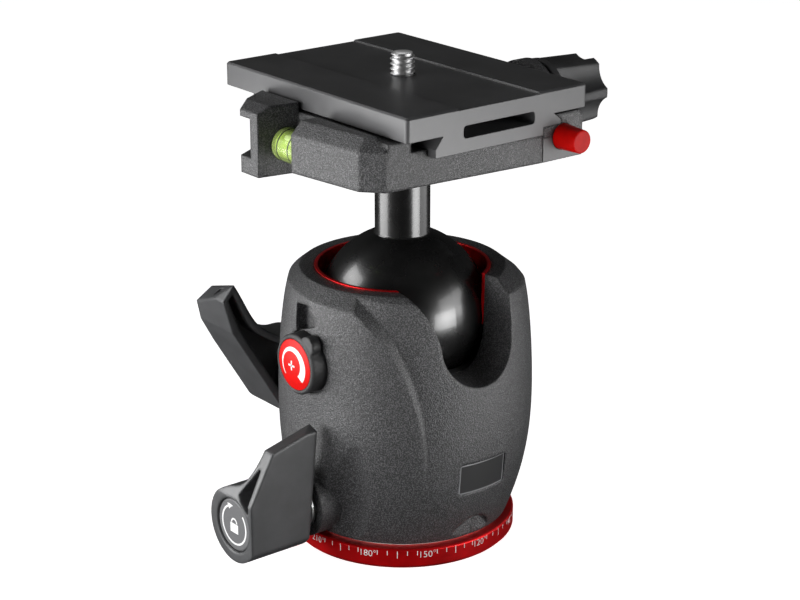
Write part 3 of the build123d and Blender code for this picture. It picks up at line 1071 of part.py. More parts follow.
with BuildPart() as clamp_knob:
    for distance, radius in ((KNOB_START, KNOB_RADIUS), (KNOB_END, KNOB_END_RADIUS)):
        with BuildSketch(BACK.offset(distance)):
            with Locations((0, KNOB_HEIGHT)):
                Circle(radius)
    loft()
    with BuildSketch(BACK.offset(KNOB_START + KNOB_COLLAR)):
        with Locations(Location((0, KNOB_HEIGHT, 0), (0, 0, 180 / KNOB_LOBES))):
            with PolarLocations(KNOB_WAIST + KNOB_SCALLOP_RADIUS, KNOB_LOBES):
                Circle(KNOB_SCALLOP_RADIUS)
    extrude(amount=KNOB_END - KNOB_START, mode=Mode.SUBTRACT)
    chamfer(clamp_knob.faces().sort_by(Axis.Y)[-1].edges(), LEVER_EDGE)
    tube(BACK, KNOB_START, KNOB_END - KNOB_COLLAR * 2, DRAW_SCREW_RADIUS + PRESS_GAP, centre=(0, KNOB_HEIGHT),
         mode=Mode.SUBTRACT)
save(clamp_knob, "clamp_knob")
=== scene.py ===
"""Dresses the tripod ball head: finishes, threads, dial, marks, level bubble and a plain studio."""

import json
from math import cos, pi, radians, sin, sqrt

import bmesh
import bpy
from mathutils import Matrix, Vector


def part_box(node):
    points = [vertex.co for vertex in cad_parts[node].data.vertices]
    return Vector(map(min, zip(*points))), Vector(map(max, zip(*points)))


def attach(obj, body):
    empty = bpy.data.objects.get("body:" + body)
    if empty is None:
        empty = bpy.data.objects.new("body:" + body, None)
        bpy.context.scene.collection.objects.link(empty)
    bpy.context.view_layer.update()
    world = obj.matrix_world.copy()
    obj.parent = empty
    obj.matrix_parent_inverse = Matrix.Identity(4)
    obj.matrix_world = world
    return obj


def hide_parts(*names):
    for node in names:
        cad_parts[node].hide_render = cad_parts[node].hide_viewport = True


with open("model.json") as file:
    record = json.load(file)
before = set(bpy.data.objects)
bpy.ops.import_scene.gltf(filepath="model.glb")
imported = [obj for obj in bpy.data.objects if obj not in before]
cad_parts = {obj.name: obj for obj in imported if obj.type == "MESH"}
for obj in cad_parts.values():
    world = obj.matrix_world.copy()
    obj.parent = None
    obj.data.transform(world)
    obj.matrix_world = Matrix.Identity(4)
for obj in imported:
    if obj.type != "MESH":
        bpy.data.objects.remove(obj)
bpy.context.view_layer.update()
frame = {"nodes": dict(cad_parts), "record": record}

bl_info = {
    "name": "Ball head dressing",
    "version": (1, 0, 0),
    "blender": (4, 5, 0),
    "location": "3D View > Sidebar > Ball head",
    "description": "Finishes and small details for a tripod ball head",
    "category": "Object",
}

MM = 0.001

# Camera screw. The thread's shares are of its pitch, from the root to one flank.
SCREW_HEAD_HEIGHT = 2.6 * MM
SCREW_HEAD_OVERLAP = 0.05 * MM
SCREW_TIP_LENGTH = 0.55 * MM
SCREW_TIP_SLOPE = 0.9
THREAD_CREST_DROP = 0.05 * MM
THREAD_ROOT_SHARE = 0.12
THREAD_FLANK_SHARE = 0.42
THREAD_STEPS = 40

# Pan scale, with its steps in degrees. The figure's drop is a share of its height.
SCALE_EDGE_GAP = 0.4 * MM
SCALE_STEP = 5
SCALE_LONG_STEP = 15
SCALE_FIGURE_STEP = 30
FIGURE_DROP = 0.62
FONT_SIZE_TO_HEIGHT = 1.38
FONT_THINNING = 0.018

# Index line on the casting, measured from the pan axis and from the casting's lower edge.
INDEX_RADIUS = 28.0 * MM
INDEX_ASIDE = 0.6 * MM
INDEX_WIDTH = 0.45 * MM
INDEX_DEPTH = 0.1 * MM
INDEX_START = 0.05 * MM
INDEX_END = 2.4 * MM

# Signs on the lever caps. The arrow's spread is in line widths.
SIGN_RING_RADIUS = 5.2 * MM
SIGN_LINE_WIDTH = 0.5 * MM
SIGN_START = radians(118)
SIGN_ARC = radians(285)
ARROW_ARC = radians(24)
ARROW_SPREAD = 3.4
SHACKLE_RADIUS = 1.15 * MM
SHACKLE_WIDTH = 0.42 * MM
SHACKLE_LIFT = 0.55 * MM
PADLOCK_WIDTH = 3.4 * MM
PADLOCK_HEIGHT = 2.5 * MM
PADLOCK_DROP = 0.9 * MM

# Mark on the friction knob's dome. The wedge's ring is a share of the dome's radius.
EMBLEM_DOME = 1.0 * MM
WEDGE_START = radians(225)
WEDGE_ARC = radians(270)
WEDGE_RING = 0.64
WEDGE_THIN_END = 0.3 * MM
WEDGE_GROWTH = 1.7 * MM
PLUS_ARM = 2.6 * MM
PLUS_WIDTH = 0.5 * MM
MARK_LONGEST_EDGE = 0.6 * MM

# Level. The bubble's aside and rise are shares of the level's radius.
# Height scale of the painted light on the level's liquid, from its shaded bottom to its lit top.
VIAL_PAINTED_LIGHT_REACH = 4.2 * MM
BUBBLE_ALONG = 4.6 * MM
BUBBLE_ASIDE = 0.3
BUBBLE_RISE = 0.5
BUBBLE_HALF_SIZES = (2.2 * MM, 1.4 * MM, 1.25 * MM)
RING_PLACES = (2.4 * MM, 6.8 * MM)
RING_WIDTH = 0.38 * MM
RING_PROUD = 0.03 * MM
RING_SUNK = 0.06 * MM

# Name plate.
PLATE_RIM = 0.3 * MM
PLATE_RIM_BLEND = 0.12 * MM

# Studio. Tones and strengths are of white, and the floor's radius is in metres.
LAMP_AIM = Vector((0, 0, 0.075))
FLOOR_RADIUS = 4.0
FLOOR_TONE = (0.5, 0.5, 0.5)
FLOOR_TONE_IN_GLOSS = (0.08, 0.08, 0.08)
FLOOR_TONE_SEEN = (0.8, 0.8, 0.8)
FLOOR_GLOW = 0.88
WORLD_LIGHT = 0.06
WORLD_LIGHT_IN_GLOSS = 0.02


# ------------------------------------------------------------------ sizes and colours
class HeadSizes(bpy.types.PropertyGroup):
    """Sizes of the details that are added to the solids."""

    thread_pitch: bpy.props.FloatProperty(
        name="Thread pitch", description="Rise of the camera screw in one turn", default=1.27 * MM,
        subtype="DISTANCE", unit="LENGTH")
    thread_depth: bpy.props.FloatProperty(
        name="Thread depth", description="Depth of the camera screw's thread", default=0.62 * MM,
        subtype="DISTANCE", unit="LENGTH")
    tick_width: bpy.props.FloatProperty(
        name="Tick width", description="Width of a mark on the pan scale", default=0.17 * MM,
        subtype="DISTANCE", unit="LENGTH")
    tick_length: bpy.props.FloatProperty(
        name="Tick length", description="Length of a five degree mark", default=1.2 * MM,
        subtype="DISTANCE", unit="LENGTH")
    long_tick_length: bpy.props.FloatProperty(
        name="Long tick length", description="Length of a mark halfway between numbers", default=2.0 * MM,
        subtype="DISTANCE", unit="LENGTH")
    figure_height: bpy.props.FloatProperty(
        name="Figure height", description="Height of the pan scale's numbers", default=1.85 * MM,
        subtype="DISTANCE", unit="LENGTH")
    print_thickness: bpy.props.FloatProperty(
        name="Print thickness", description="How far a printed mark stands out", default=0.03 * MM,
        subtype="DISTANCE", unit="LENGTH")
    edge_round: bpy.props.FloatProperty(
        name="Casting edge", description="Rounding seen on the castings' edges", default=1.3 * MM,
        subtype="DISTANCE", unit="LENGTH")
    fine_edge: bpy.props.FloatProperty(
        name="Machined edge", description="Rounding seen on machined edges", default=0.3 * MM,
        subtype="DISTANCE", unit="LENGTH")


def colour(name, description, default):
    """A colour property."""
    return bpy.props.FloatVectorProperty(name=name, description=description, default=default, size=3,
                                         min=0, max=1, subtype="COLOR")


class HeadColours(bpy.types.PropertyGroup):
    """Base colours of the finishes."""

    coat_dark: colour("Coat", "Ground of the speckled coat", (0.019, 0.019, 0.02))
    coat_light: colour("Coat specks", "Raised grains of the speckled coat", (0.1, 0.1, 0.103))
    lever_grey: colour("Levers", "Smooth grey of the levers", (0.05, 0.051, 0.053))
    gloss_black: colour("Ball", "Gloss black of the ball and neck", (0.004, 0.004, 0.004))
    plate_black: colour("Plate", "Satin black of the plate and the jaw's end block", (0.052, 0.052, 0.054))
    red_anodised: colour("Red metal", "Anodised red of the base and collar", (0.8, 0.003, 0.006))
    red_plastic: colour("Red plastic", "Red of the button and emblem", (0.62, 0.003, 0.002))
    rubber_black: colour("Rubber", "Soft black of the knobs and the name plate", (0.016, 0.016, 0.017))
    cap_grey: colour("Caps", "Grey of the lever caps and the name plate's rim", (0.115, 0.116, 0.12))
    vial_green: colour("Level", "Liquid in the level", (0.46, 0.68, 0.06))
    print_white: colour("Print", "Printed marks", (0.78, 0.78, 0.78))


# ------------------------------------------------------------------ shader maths
class Value:
    """An output socket of a recipe, so that maths on it reads as plain arithmetic."""

    def __init__(self, recipe, socket):
        self.recipe = recipe
        self.socket = socket

    def maths(self, operation, first, second):
        """A Math node on two values."""
        return self.recipe.node("ShaderNodeMath", {"operation": operation}, {0: first, 1: second})

    def __add__(self, other):
        return self.maths("ADD", self, other)

    def __radd__(self, other):
        return self.maths("ADD", other, self)

    def __sub__(self, other):
        return self.maths("SUBTRACT", self, other)

    def __rsub__(self, other):
        return self.maths("SUBTRACT", other, self)

    def __mul__(self, other):
        return self.maths("MULTIPLY", self, other)

    def __rmul__(self, other):
        return self.maths("MULTIPLY", other, self)

    def __truediv__(self, other):
        return self.maths("DIVIDE", self, other)

    def __rtruediv__(self, other):
        return self.maths("DIVIDE", other, self)

    def __abs__(self):
        return self.maths("ABSOLUTE", self, 0)

    def least(self, other):
        """The smaller of two values."""
        return self.maths("MINIMUM", self, other)

    def ramp(self, low, high):
        """0 below low, 1 above high and smooth between."""
        return self.recipe.node("ShaderNodeMapRange", {"interpolation_type": "SMOOTHSTEP"},
                                {"Value": self, "From Min": low, "From Max": high})


class Recipe:
    """A node tree that is built up by name."""

    def __init__(self, tree):
        self.tree = tree
        tree.nodes.clear()

    def node(self, kind, settings=None, inputs=None, output=0):
        """Adds a node, sets what it does, then fills or links its sockets."""
        made = self.tree.nodes.new(kind)
        for key, value in (settings or {}).items():
            setattr(made, key, value)
        for key, value in (inputs or {}).items():
            if isinstance(value, Value):
                self.tree.links.new(value.socket, made.inputs[key])
            else:
                made.inputs[key].default_value = value
        return Value(self, made.outputs[output]) if made.outputs else made

    def place(self):
        """Object coordinates."""
        return self.node("ShaderNodeTexCoord", output="Object")

    def axis(self, name):
        """One axis of the object coordinates."""
        return self.node("ShaderNodeSeparateXYZ", inputs={0: self.place()}, output=name)

    def noise(self, grain, detail=2.0, roughness=0.55, stretch=(1, 1, 1)):
        """Noise whose grains are about as wide as the given length."""
        where = self.node("ShaderNodeMapping", inputs={"Vector": self.place(), "Scale": stretch})
        return self.node("ShaderNodeTexNoise", inputs={
            "Vector": where, "Scale": 1 / grain, "Detail": detail, "Roughness": roughness})

    def mix(self, factor, first, second):
        """A colour between two colours."""
        return self.node("ShaderNodeMix", {"data_type": "RGBA"}, {
            0: factor, 6: as_colour(first), 7: as_colour(second)}, output=2)

    def rounded(self, radius):
        """Normals that run smoothly over an edge."""
        return self.node("ShaderNodeBevel", {"samples": 6}, {"Radius": radius})

    def bump(self, height, distance, strength, under=None):
        """Bumps of a height map, over the given normals."""
        sockets = {"Height": height, "Distance": distance, "Strength": strength}
        if under is not None:
            sockets["Normal"] = under
        return self.node("ShaderNodeBump", inputs=sockets)


def as_colour(value):
    """A colour with its alpha, or a link as it is."""
    return value if isinstance(value, Value) else (*value, 1.0)


def finish(name, paint):
    """A material whose recipe is filled in by paint, which returns the surface's sockets."""
    material = bpy.data.materials.new(name)
    material.use_nodes = True
    recipe = Recipe(material.node_tree)
    sockets = paint(recipe)
    surface = recipe.node("ShaderNodeBsdfPrincipled", inputs={
        key: as_colour(value) if key in ("Base Color", "Emission Color") else value
        for key, value in sockets.items()})
    recipe.node("ShaderNodeOutputMaterial", inputs={"Surface": surface})
    return material


# ------------------------------------------------------------------ finishes
def speckled_coat(recipe):
    """Grainy dark coat of the castings."""
    colours, sizes = settings()
    grain = recipe.noise(0.32 * MM, 2.5, 0.66)
    patches = recipe.noise(9 * MM, 2, 0.5)
    specks = grain.ramp(0.46, 0.62)
    height = grain + recipe.noise(0.7 * MM, 1.0) * 0.5
    return {
        "Base Color": recipe.mix(specks, colours.coat_dark, colours.coat_light),
        "Roughness": 0.46 - specks * 0.1 + patches * 0.06,
        "Normal": recipe.bump(height, 0.22 * MM, 1.0, recipe.rounded(sizes.edge_round)),
    }


def lever_finish(recipe):
    """Smooth satin grey of the levers."""
    colours, sizes = settings()
    cloud = recipe.noise(6 * MM, 3)
    fine = recipe.noise(0.25 * MM, 2)
    lighter = [part * 1.25 for part in colours.lever_grey]
    return {
        "Base Color": recipe.mix(cloud.ramp(0.3, 0.7), colours.lever_grey, lighter),
        "Roughness": 0.4 + fine * 0.1,
        "Normal": recipe.bump(fine, 0.02 * MM, 0.35, recipe.rounded(sizes.edge_round)),
    }


def gloss_finish(recipe):
    """Polished black of the ball and its neck."""
    colours, sizes = settings()
    smudge = recipe.noise(12 * MM, 3)
    return {
        "Base Color": recipe.mix(smudge.ramp(0.35, 0.75), colours.gloss_black,
                                 [part * 1.8 for part in colours.gloss_black]),
        "Roughness": 0.26 + smudge.ramp(0.3, 0.8) * 0.05,
        "Coat Weight": 0.1 + smudge * 0.1,
        "Normal": recipe.rounded(sizes.fine_edge),
    }


def plate_finish(recipe):
    """Bead-blasted satin black of the camera plate and the jaw's end block."""
    colours, sizes = settings()
    fine = recipe.noise(0.2 * MM, 2)
    cloud = recipe.noise(14 * MM, 2)
    return {
        "Base Color": recipe.mix(cloud.ramp(0.35, 0.7), colours.plate_black,
                                 [part * 1.3 for part in colours.plate_black]),
        "Roughness": 0.4 + cloud * 0.08,
        "Normal": recipe.bump(fine, 0.015 * MM, 0.3, recipe.rounded(sizes.fine_edge)),
    }


def red_metal(recipe):
    """Turned and anodised red of the base disc and collar."""
    colours, sizes = settings()
    rings = recipe.noise(0.35 * MM, 1, stretch=(0.02, 0.02, 1))
    cloud = recipe.noise(8 * MM, 2)
    deep = [part * 0.6 for part in colours.red_anodised]
    return {
        "Base Color": recipe.mix(cloud.ramp(0.2, 0.8), deep, colours.red_anodised),
        "Metallic": 0.7,
        "Roughness": 0.3 + rings * 0.12,
        "Normal": recipe.bump(rings, 0.02 * MM, 0.25, recipe.rounded(sizes.fine_edge)),
    }


def red_plastic(recipe):
    """Moulded gloss red of the button and emblem."""
    colours, sizes = settings()
    cloud = recipe.noise(3 * MM, 2)
    return {
        "Base Color": recipe.mix(cloud.ramp(0.3, 0.8), colours.red_plastic,
                                 [part * 0.8 for part in colours.red_plastic]),
        "Roughness": 0.42 + cloud * 0.08,
        "Specular IOR Level": 0.1,
        "Normal": recipe.rounded(sizes.fine_edge),
    }


def rubber(recipe):
    """Soft matte black of the clamp and friction knobs."""
    colours, sizes = settings()
    fine = recipe.noise(0.3 * MM, 3)
    cloud = recipe.noise(5 * MM, 2)
    return {
        "Base Color": recipe.mix(cloud.ramp(0.3, 0.7), colours.rubber_black,
                                 [part * 1.5 for part in colours.rubber_black]),
        "Roughness": 0.52 + fine * 0.12,
        "Normal": recipe.bump(fine, 0.04 * MM, 0.4, recipe.rounded(sizes.edge_round)),
    }


def cap_finish(recipe):
    """Satin grey of the lever caps."""
    colours, sizes = settings()
    fine = recipe.noise(0.25 * MM, 2)
    return {
        "Base Color": recipe.mix(fine.ramp(0.3, 0.7), colours.cap_grey,
                                 [part * 0.85 for part in colours.cap_grey]),
        "Roughness": 0.42 + fine * 0.1,
        "Normal": recipe.bump(fine, 0.01 * MM, 0.3, recipe.rounded(sizes.fine_edge)),
    }


def name_plate_finish(recipe):
    """Black blank plate with a thin pale rim."""
    colours, sizes = settings()
    low, high = corners("name_plate")
    middle, half = (low + high) / 2, (high - low) / 2
    from_side = half.y - abs(recipe.axis("Y") - middle.y)
    from_top = half.z - abs(recipe.axis("Z") - middle.z)
    ground = from_side.least(from_top).ramp(PLATE_RIM, PLATE_RIM + PLATE_RIM_BLEND)
    fine = recipe.noise(0.25 * MM, 2)
    return {
        "Base Color": recipe.mix(ground, [part * 2.2 for part in colours.cap_grey], colours.rubber_black),
        "Roughness": 0.4 + fine * 0.1,
        "Normal": recipe.bump(fine, 0.01 * MM, 0.3, recipe.rounded(sizes.fine_edge)),
    }


def bare_metal(tint, roughness, grain):
    """Turned metal of a given tint."""
    def paint(recipe):
        sizes = settings()[1]
        fine = recipe.noise(grain, 2)
        return {
            "Base Color": recipe.mix(fine.ramp(0.3, 0.7), tint, [part * 0.85 for part in tint]),
            "Metallic": 1.0,
            "Roughness": roughness + fine * 0.12,
            "Normal": recipe.bump(fine, 0.01 * MM, 0.3, recipe.rounded(sizes.fine_edge * 0.5)),
        }
    return paint


def nylon(tint):
    """Plain plastic of a given tint, for washers, liners, pads and the level's bubble."""
    def paint(recipe):
        cloud = recipe.noise(2 * MM, 2)
        return {
            "Base Color": recipe.mix(cloud.ramp(0.3, 0.7), tint, [part * 0.9 for part in tint]),
            "Roughness": 0.4 + cloud * 0.15,
        }
    return paint


def vial_finish(recipe):
    """Yellow-green liquid with painted light: painted shade darkens it towards its bottom and it is paler
    towards its top.
    """
    colours = settings()[0]
    low, high = corners("level_vial")
    middle = (low + high) / 2
    # Painted light: pale is 0 at the shaded bottom of the liquid and 1 at its lit top.
    height = (recipe.axis("Z") - middle.z) / VIAL_PAINTED_LIGHT_REACH
    pale = height.ramp(-0.7, 0.9)
    return {
        "Base Color": recipe.mix(pale, [part * 0.55 for part in colours.vial_green], colours.vial_green),
        "Roughness": 0.35 + pale * 0.05,
    }


def clear_tube(recipe):
    """Clear wall of the level."""
    colours = settings()[0]
    haze = recipe.noise(2 * MM, 2)
    return {
        "Base Color": recipe.mix(haze, colours.vial_green, (0.75, 0.9, 0.4)),
        "Roughness": 0.24 + haze * 0.04,
        "Alpha": 0.24 + haze * 0.08,
    }


def white_print(recipe):
    """Printed marks."""
    colours = settings()[0]
    worn = recipe.noise(0.6 * MM, 2)
    return {
        "Base Color": recipe.mix(worn.ramp(0.2, 0.7), [part * 0.8 for part in colours.print_white],
                                 colours.print_white),
        "Roughness": 0.5 + worn * 0.1,
    }


def dark_print(recipe):
    """Dark filling of the index line and the level's rings."""
    worn = recipe.noise(0.6 * MM, 2)
    return {
        "Base Color": recipe.mix(worn, (0.004, 0.004, 0.004), (0.012, 0.012, 0.012)),
        "Roughness": 0.5 + worn * 0.1,
    }


FINISHES = {
    "speckled_casting": speckled_coat,
    "satin_grey": lever_finish,
    "black_gloss": gloss_finish,
    "black_satin": plate_finish,
    "red_anodised": red_metal,
    "red_plastic": red_plastic,
    "black_rubber": rubber,
    "plate_silver": cap_finish,
    "vial_green": vial_finish,
    "aluminium": bare_metal((0.62, 0.62, 0.64), 0.28, 0.4 * MM),
    "steel": bare_metal((0.8, 0.8, 0.8), 0.36, 0.3 * MM),
    "brass": bare_metal((0.66, 0.48, 0.2), 0.28, 0.4 * MM),
    "white_nylon": nylon((0.74, 0.74, 0.71)),
    "black_nylon": nylon((0.03, 0.03, 0.03)),
    "clear_tube": clear_tube,
    "white_print": white_print,
    "dark_print": dark_print,
    "name_plate": name_plate_finish,
    "bubble": nylon((0.66, 0.84, 0.34)),
}

# Nodes whose finish differs from their slot's.
OWN_FINISH = {"level_vial": "clear_tube", "name_plate": "name_plate", "friction_knob": "black_rubber"}


def material(slot):
    """The finish of a slot, made once."""
    return bpy.data.materials.get(slot + "_finish") or finish(slot + "_finish", FINISHES[slot])


def settings():
    """The colours and sizes in use."""
    scene = bpy.context.scene
    return scene.head_colours, scene.head_sizes


# ------------------------------------------------------------------ making pieces
def corners(node):
    """Lowest and highest corner of a solid."""
    low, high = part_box(node)
    return Vector(low), Vector(high)


def piece(name, shape, finish_name, body, replaced=()):
    """Turns a bmesh into a finished piece that rides on a body."""
    mesh = bpy.data.meshes.new(name)
    shape.to_mesh(mesh)
    shape.free()
    made = bpy.data.objects.new(name, mesh)
    bpy.context.scene.collection.objects.link(made)
    mesh.materials.append(material(finish_name))
    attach(made, body)
    if replaced:
        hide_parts(*replaced)
    return made


def smooth(made, angle=40):
    """Shades a piece smoothly, with its sharper edges kept."""
    for face in made.data.polygons:
        face.use_smooth = True
    made.data.set_sharp_from_angle(angle=radians(angle))


def figure_shape(text, height, thickness):
    """Flat figures as a bmesh, centred, with a small thickness."""
    curve = bpy.data.curves.new("figures", "FONT")
    curve.body = text
    curve.size = height * FONT_SIZE_TO_HEIGHT
    curve.align_x = "CENTER"
    curve.align_y = "CENTER"
    curve.extrude = thickness / 2
    curve.offset = -FONT_THINNING * height
    curve.resolution_u = 3
    holder = bpy.data.objects.new("figures", curve)
    mesh = bpy.data.meshes.new_from_object(holder)
    shape = bmesh.new()
    shape.from_mesh(mesh)
    bpy.data.objects.remove(holder)
    bpy.data.curves.remove(curve)
    bpy.data.meshes.remove(mesh)
    bmesh.ops.remove_doubles(shape, verts=shape.verts, dist=0.001 * MM)
    return shape


def move_points(points, rule):
    """Moves each point to where a rule puts it."""
    for point in points:
        point.co = rule(point.co)


def band(shape, steps, thickness, rule):
    """A printed band: a grid over 0..1 along and -0.5..0.5 across, placed by a rule and thickened."""
    grid = bmesh.ops.create_grid(shape, x_segments=steps, y_segments=1, size=0.5)["verts"]
    for point in grid:
        along, across = point.co.x + 0.5, point.co.y
        point.co = rule(along, across)
    faces = list({face for point in grid for face in point.link_faces})
    made = bmesh.ops.extrude_face_region(shape, geom=faces)["geom"]
    raised = [item for item in made if isinstance(item, bmesh.types.BMVert)]
    bmesh.ops.translate(shape, verts=raised, vec=(0, 0, thickness))
    bmesh.ops.recalc_face_normals(shape, faces=shape.faces)
    return shape


class HEAD_OT_finishes(bpy.types.Operator):
    """Gives every solid the finish of its slot, or its own where it has one"""

    bl_idname = "head.finishes"
    bl_label = "Finishes"

    def execute(self, context):
        slots = {part["node"]: part["material_slot"] for part in frame["record"]["subparts"]}
        for node, made in frame["nodes"].items():
            name = OWN_FINISH.get(node, slots[node])
            for holder in made.material_slots:
                holder.material = material(name)
        return {"FINISHED"}


class HEAD_OT_camera_screw(bpy.types.Operator):
    """Cuts the thread of the camera screw"""

    bl_idname = "head.camera_screw"
    bl_label = "Camera screw"

    def execute(self, context):
        sizes = settings()[1]
        low, high = corners("camera_screw")
        mount = next(item for item in frame["record"]["mounts"] if item["name"] == "camera_thread")
        crest = mount["dims"]["r_mm"] * MM
        root = crest - sizes.thread_depth
        head_radius = (high.x - low.x) / 2
        head_top = low.z + SCREW_HEAD_HEIGHT
        pitch = sizes.thread_pitch
        turns = int((high.z - head_top) / pitch) + 2
        shape = bmesh.new()
        flank = crest - THREAD_CREST_DROP
        rising = [(root, 0.0), (root, THREAD_ROOT_SHARE), (flank, THREAD_FLANK_SHARE)]
        profile = rising + [(crest, 0.5)] + [(radius, 1 - share) for radius, share in reversed(rising)]
        chain = [shape.verts.new((radius, 0, head_top - pitch + share * pitch)) for radius, share in profile]
        edges = [shape.edges.new(pair) for pair in zip(chain, chain[1:])]
        bmesh.ops.spin(shape, geom=chain + edges, cent=(0, 0, 0), axis=(0, 0, 1), angle=2 * pi * turns,
                       steps=THREAD_STEPS * turns, dvec=(0, 0, pitch / THREAD_STEPS), use_merge=False)
        bmesh.ops.remove_doubles(shape, verts=shape.verts, dist=0.002 * MM)
        for height, up in ((high.z, 1), (head_top - SCREW_HEAD_OVERLAP, -1)):
            bmesh.ops.bisect_plane(shape, geom=shape.verts[:] + shape.edges[:] + shape.faces[:],
                                   plane_co=(0, 0, height), plane_no=(0, 0, up), clear_outer=True, dist=1e-7)
            rim = [edge for edge in shape.edges if edge.is_boundary and
                   all(abs(point.co.z - height) < 1e-6 for point in edge.verts)]
            bmesh.ops.holes_fill(shape, edges=rim, sides=0)
        top = [point for point in shape.verts if point.co.z > high.z - SCREW_TIP_LENGTH]
        for point in top:
            reach = Vector((point.co.x, point.co.y)).length
            limit = root + (high.z - point.co.z) * SCREW_TIP_SLOPE
            if reach > limit:
                point.co.x *= limit / reach
                point.co.y *= limit / reach
        bmesh.ops.create_cone(shape, cap_ends=True, segments=64, radius1=head_radius, radius2=head_radius,
                              depth=SCREW_HEAD_HEIGHT,
                              matrix=Matrix.Translation((0, 0, low.z + SCREW_HEAD_HEIGHT / 2)))
        bmesh.ops.recalc_face_normals(shape, faces=shape.faces)
        made = piece("threaded_camera_screw", shape, "steel", "camera_screw", ("camera_screw",))
        smooth(made, 55)
        return {"FINISHED"}


class HEAD_OT_pan_scale(bpy.types.Operator):
    """Prints the degree marks and figures on the base disc"""

    bl_idname = "head.pan_scale"
    bl_label = "Pan scale"

    zero_angle: bpy.props.FloatProperty(
        name="Zero", description="Direction of the zero mark", default=radians(124), subtype="ANGLE")

    def execute(self, context):
        sizes = settings()[1]
        high = corners("base_disc")[1]
        radius = high.x
        top = high.z - SCALE_EDGE_GAP
        shape = bmesh.new()
        for value in range(0, 360, SCALE_STEP):
            if value % SCALE_FIGURE_STEP == 0:
                continue
            length = sizes.tick_length if value % SCALE_LONG_STEP else sizes.long_tick_length
            turn = Matrix.Rotation(self.zero_angle - radians(value), 4, "Z")
            place = turn @ Matrix.Translation((radius, 0, top - length / 2))
            scale = Matrix.Diagonal((sizes.print_thickness * 2, sizes.tick_width, length, 1))
            bmesh.ops.create_cube(shape, size=1, matrix=place @ scale)
        figures = bpy.data.meshes.new("figures")
        for value in range(0, 360, SCALE_FIGURE_STEP):
            figure = figure_shape(f"{value}°", sizes.figure_height, sizes.print_thickness * 2)
            angle = self.zero_angle - radians(value)
            height = top - sizes.figure_height * FIGURE_DROP

            def wrap(point):
                turn = angle + point.x / radius
                reach = radius + point.z
                return Vector((reach * cos(turn), reach * sin(turn), height + point.y))

            move_points(figure.verts, wrap)
            figure.to_mesh(figures)
            figure.free()
            shape.from_mesh(figures)
        bpy.data.meshes.remove(figures)
        bmesh.ops.recalc_face_normals(shape, faces=shape.faces)
        piece("pan_scale_print", shape, "white_print", "base")
        return {"FINISHED"}


class HEAD_OT_index_line(bpy.types.Operator):
    """Marks the index line on the casting above the pan scale"""

    bl_idname = "head.index_line"
    bl_label = "Index line"

    def execute(self, context):
        low = corners("housing")[0]
        shape = bmesh.new()
        start, end = low.z + INDEX_START, low.z + INDEX_END
        place = Matrix.Translation((INDEX_RADIUS, INDEX_ASIDE, (start + end) / 2))
        scale = Matrix.Diagonal((INDEX_DEPTH, INDEX_WIDTH, end - start, 1))
        bmesh.ops.create_cube(shape, size=1, matrix=place @ scale)
        piece("index_line_print", shape, "dark_print", "housing")
        return {"FINISHED"}


class HEAD_OT_cap_signs(bpy.types.Operator):
    """Prints a turning arrow on each lever cap and a padlock on the pan lever's"""

    bl_idname = "head.cap_signs"
    bl_label = "Cap signs"

    def execute(self, context):
        sizes = settings()[1]
        thick = sizes.print_thickness * 2
        for name, body, axis in (("pan_lever_cap", "pan_lever", "Y"), ("lock_lever_cap", "lock_lever", "X")):
            low, high = corners(name)
            middle = (low + high) / 2
            shape = bmesh.new()

            def sweep(along, across):
                angle = SIGN_START + along * SIGN_ARC
                reach = SIGN_RING_RADIUS + across * SIGN_LINE_WIDTH
                return Vector((reach * cos(angle), reach * sin(angle), 0))

            def point_of_arrow(along, across):
                angle = SIGN_START - along * ARROW_ARC
                reach = SIGN_RING_RADIUS + across * SIGN_LINE_WIDTH * ARROW_SPREAD * (1 - along)
                return Vector((reach * cos(angle), reach * sin(angle), 0))

            band(shape, 48, thick, sweep)
            band(shape, 4, thick, point_of_arrow)
            if name == "pan_lever_cap":
                def shackle(along, across):
                    angle = along * pi
                    reach = SHACKLE_RADIUS + across * SHACKLE_WIDTH
                    return Vector((reach * cos(angle), reach * sin(angle) + SHACKLE_LIFT, 0))

                def lock_body(along, across):
                    return Vector(((along - 0.5) * PADLOCK_WIDTH, across * PADLOCK_HEIGHT - PADLOCK_DROP, 0))

                band(shape, 16, thick, shackle)
                band(shape, 1, thick, lock_body)
            bmesh.ops.remove_doubles(shape, verts=shape.verts, dist=0.0005 * MM)
            if axis == "Y":
                turn = Matrix.Rotation(radians(90), 4, "X")
                place = Matrix.Translation((middle.x, low.y + thick / 2, middle.z))
            else:
                turn = Matrix.Rotation(radians(-90), 4, "Z") @ Matrix.Rotation(radians(90), 4, "X")
                place = Matrix.Translation((low.x + thick / 2, middle.y, middle.z))
            bmesh.ops.transform(shape, matrix=place @ turn, verts=shape.verts)
            bmesh.ops.recalc_face_normals(shape, faces=shape.faces)
            piece(body + "_sign", shape, "white_print", body)
        return {"FINISHED"}


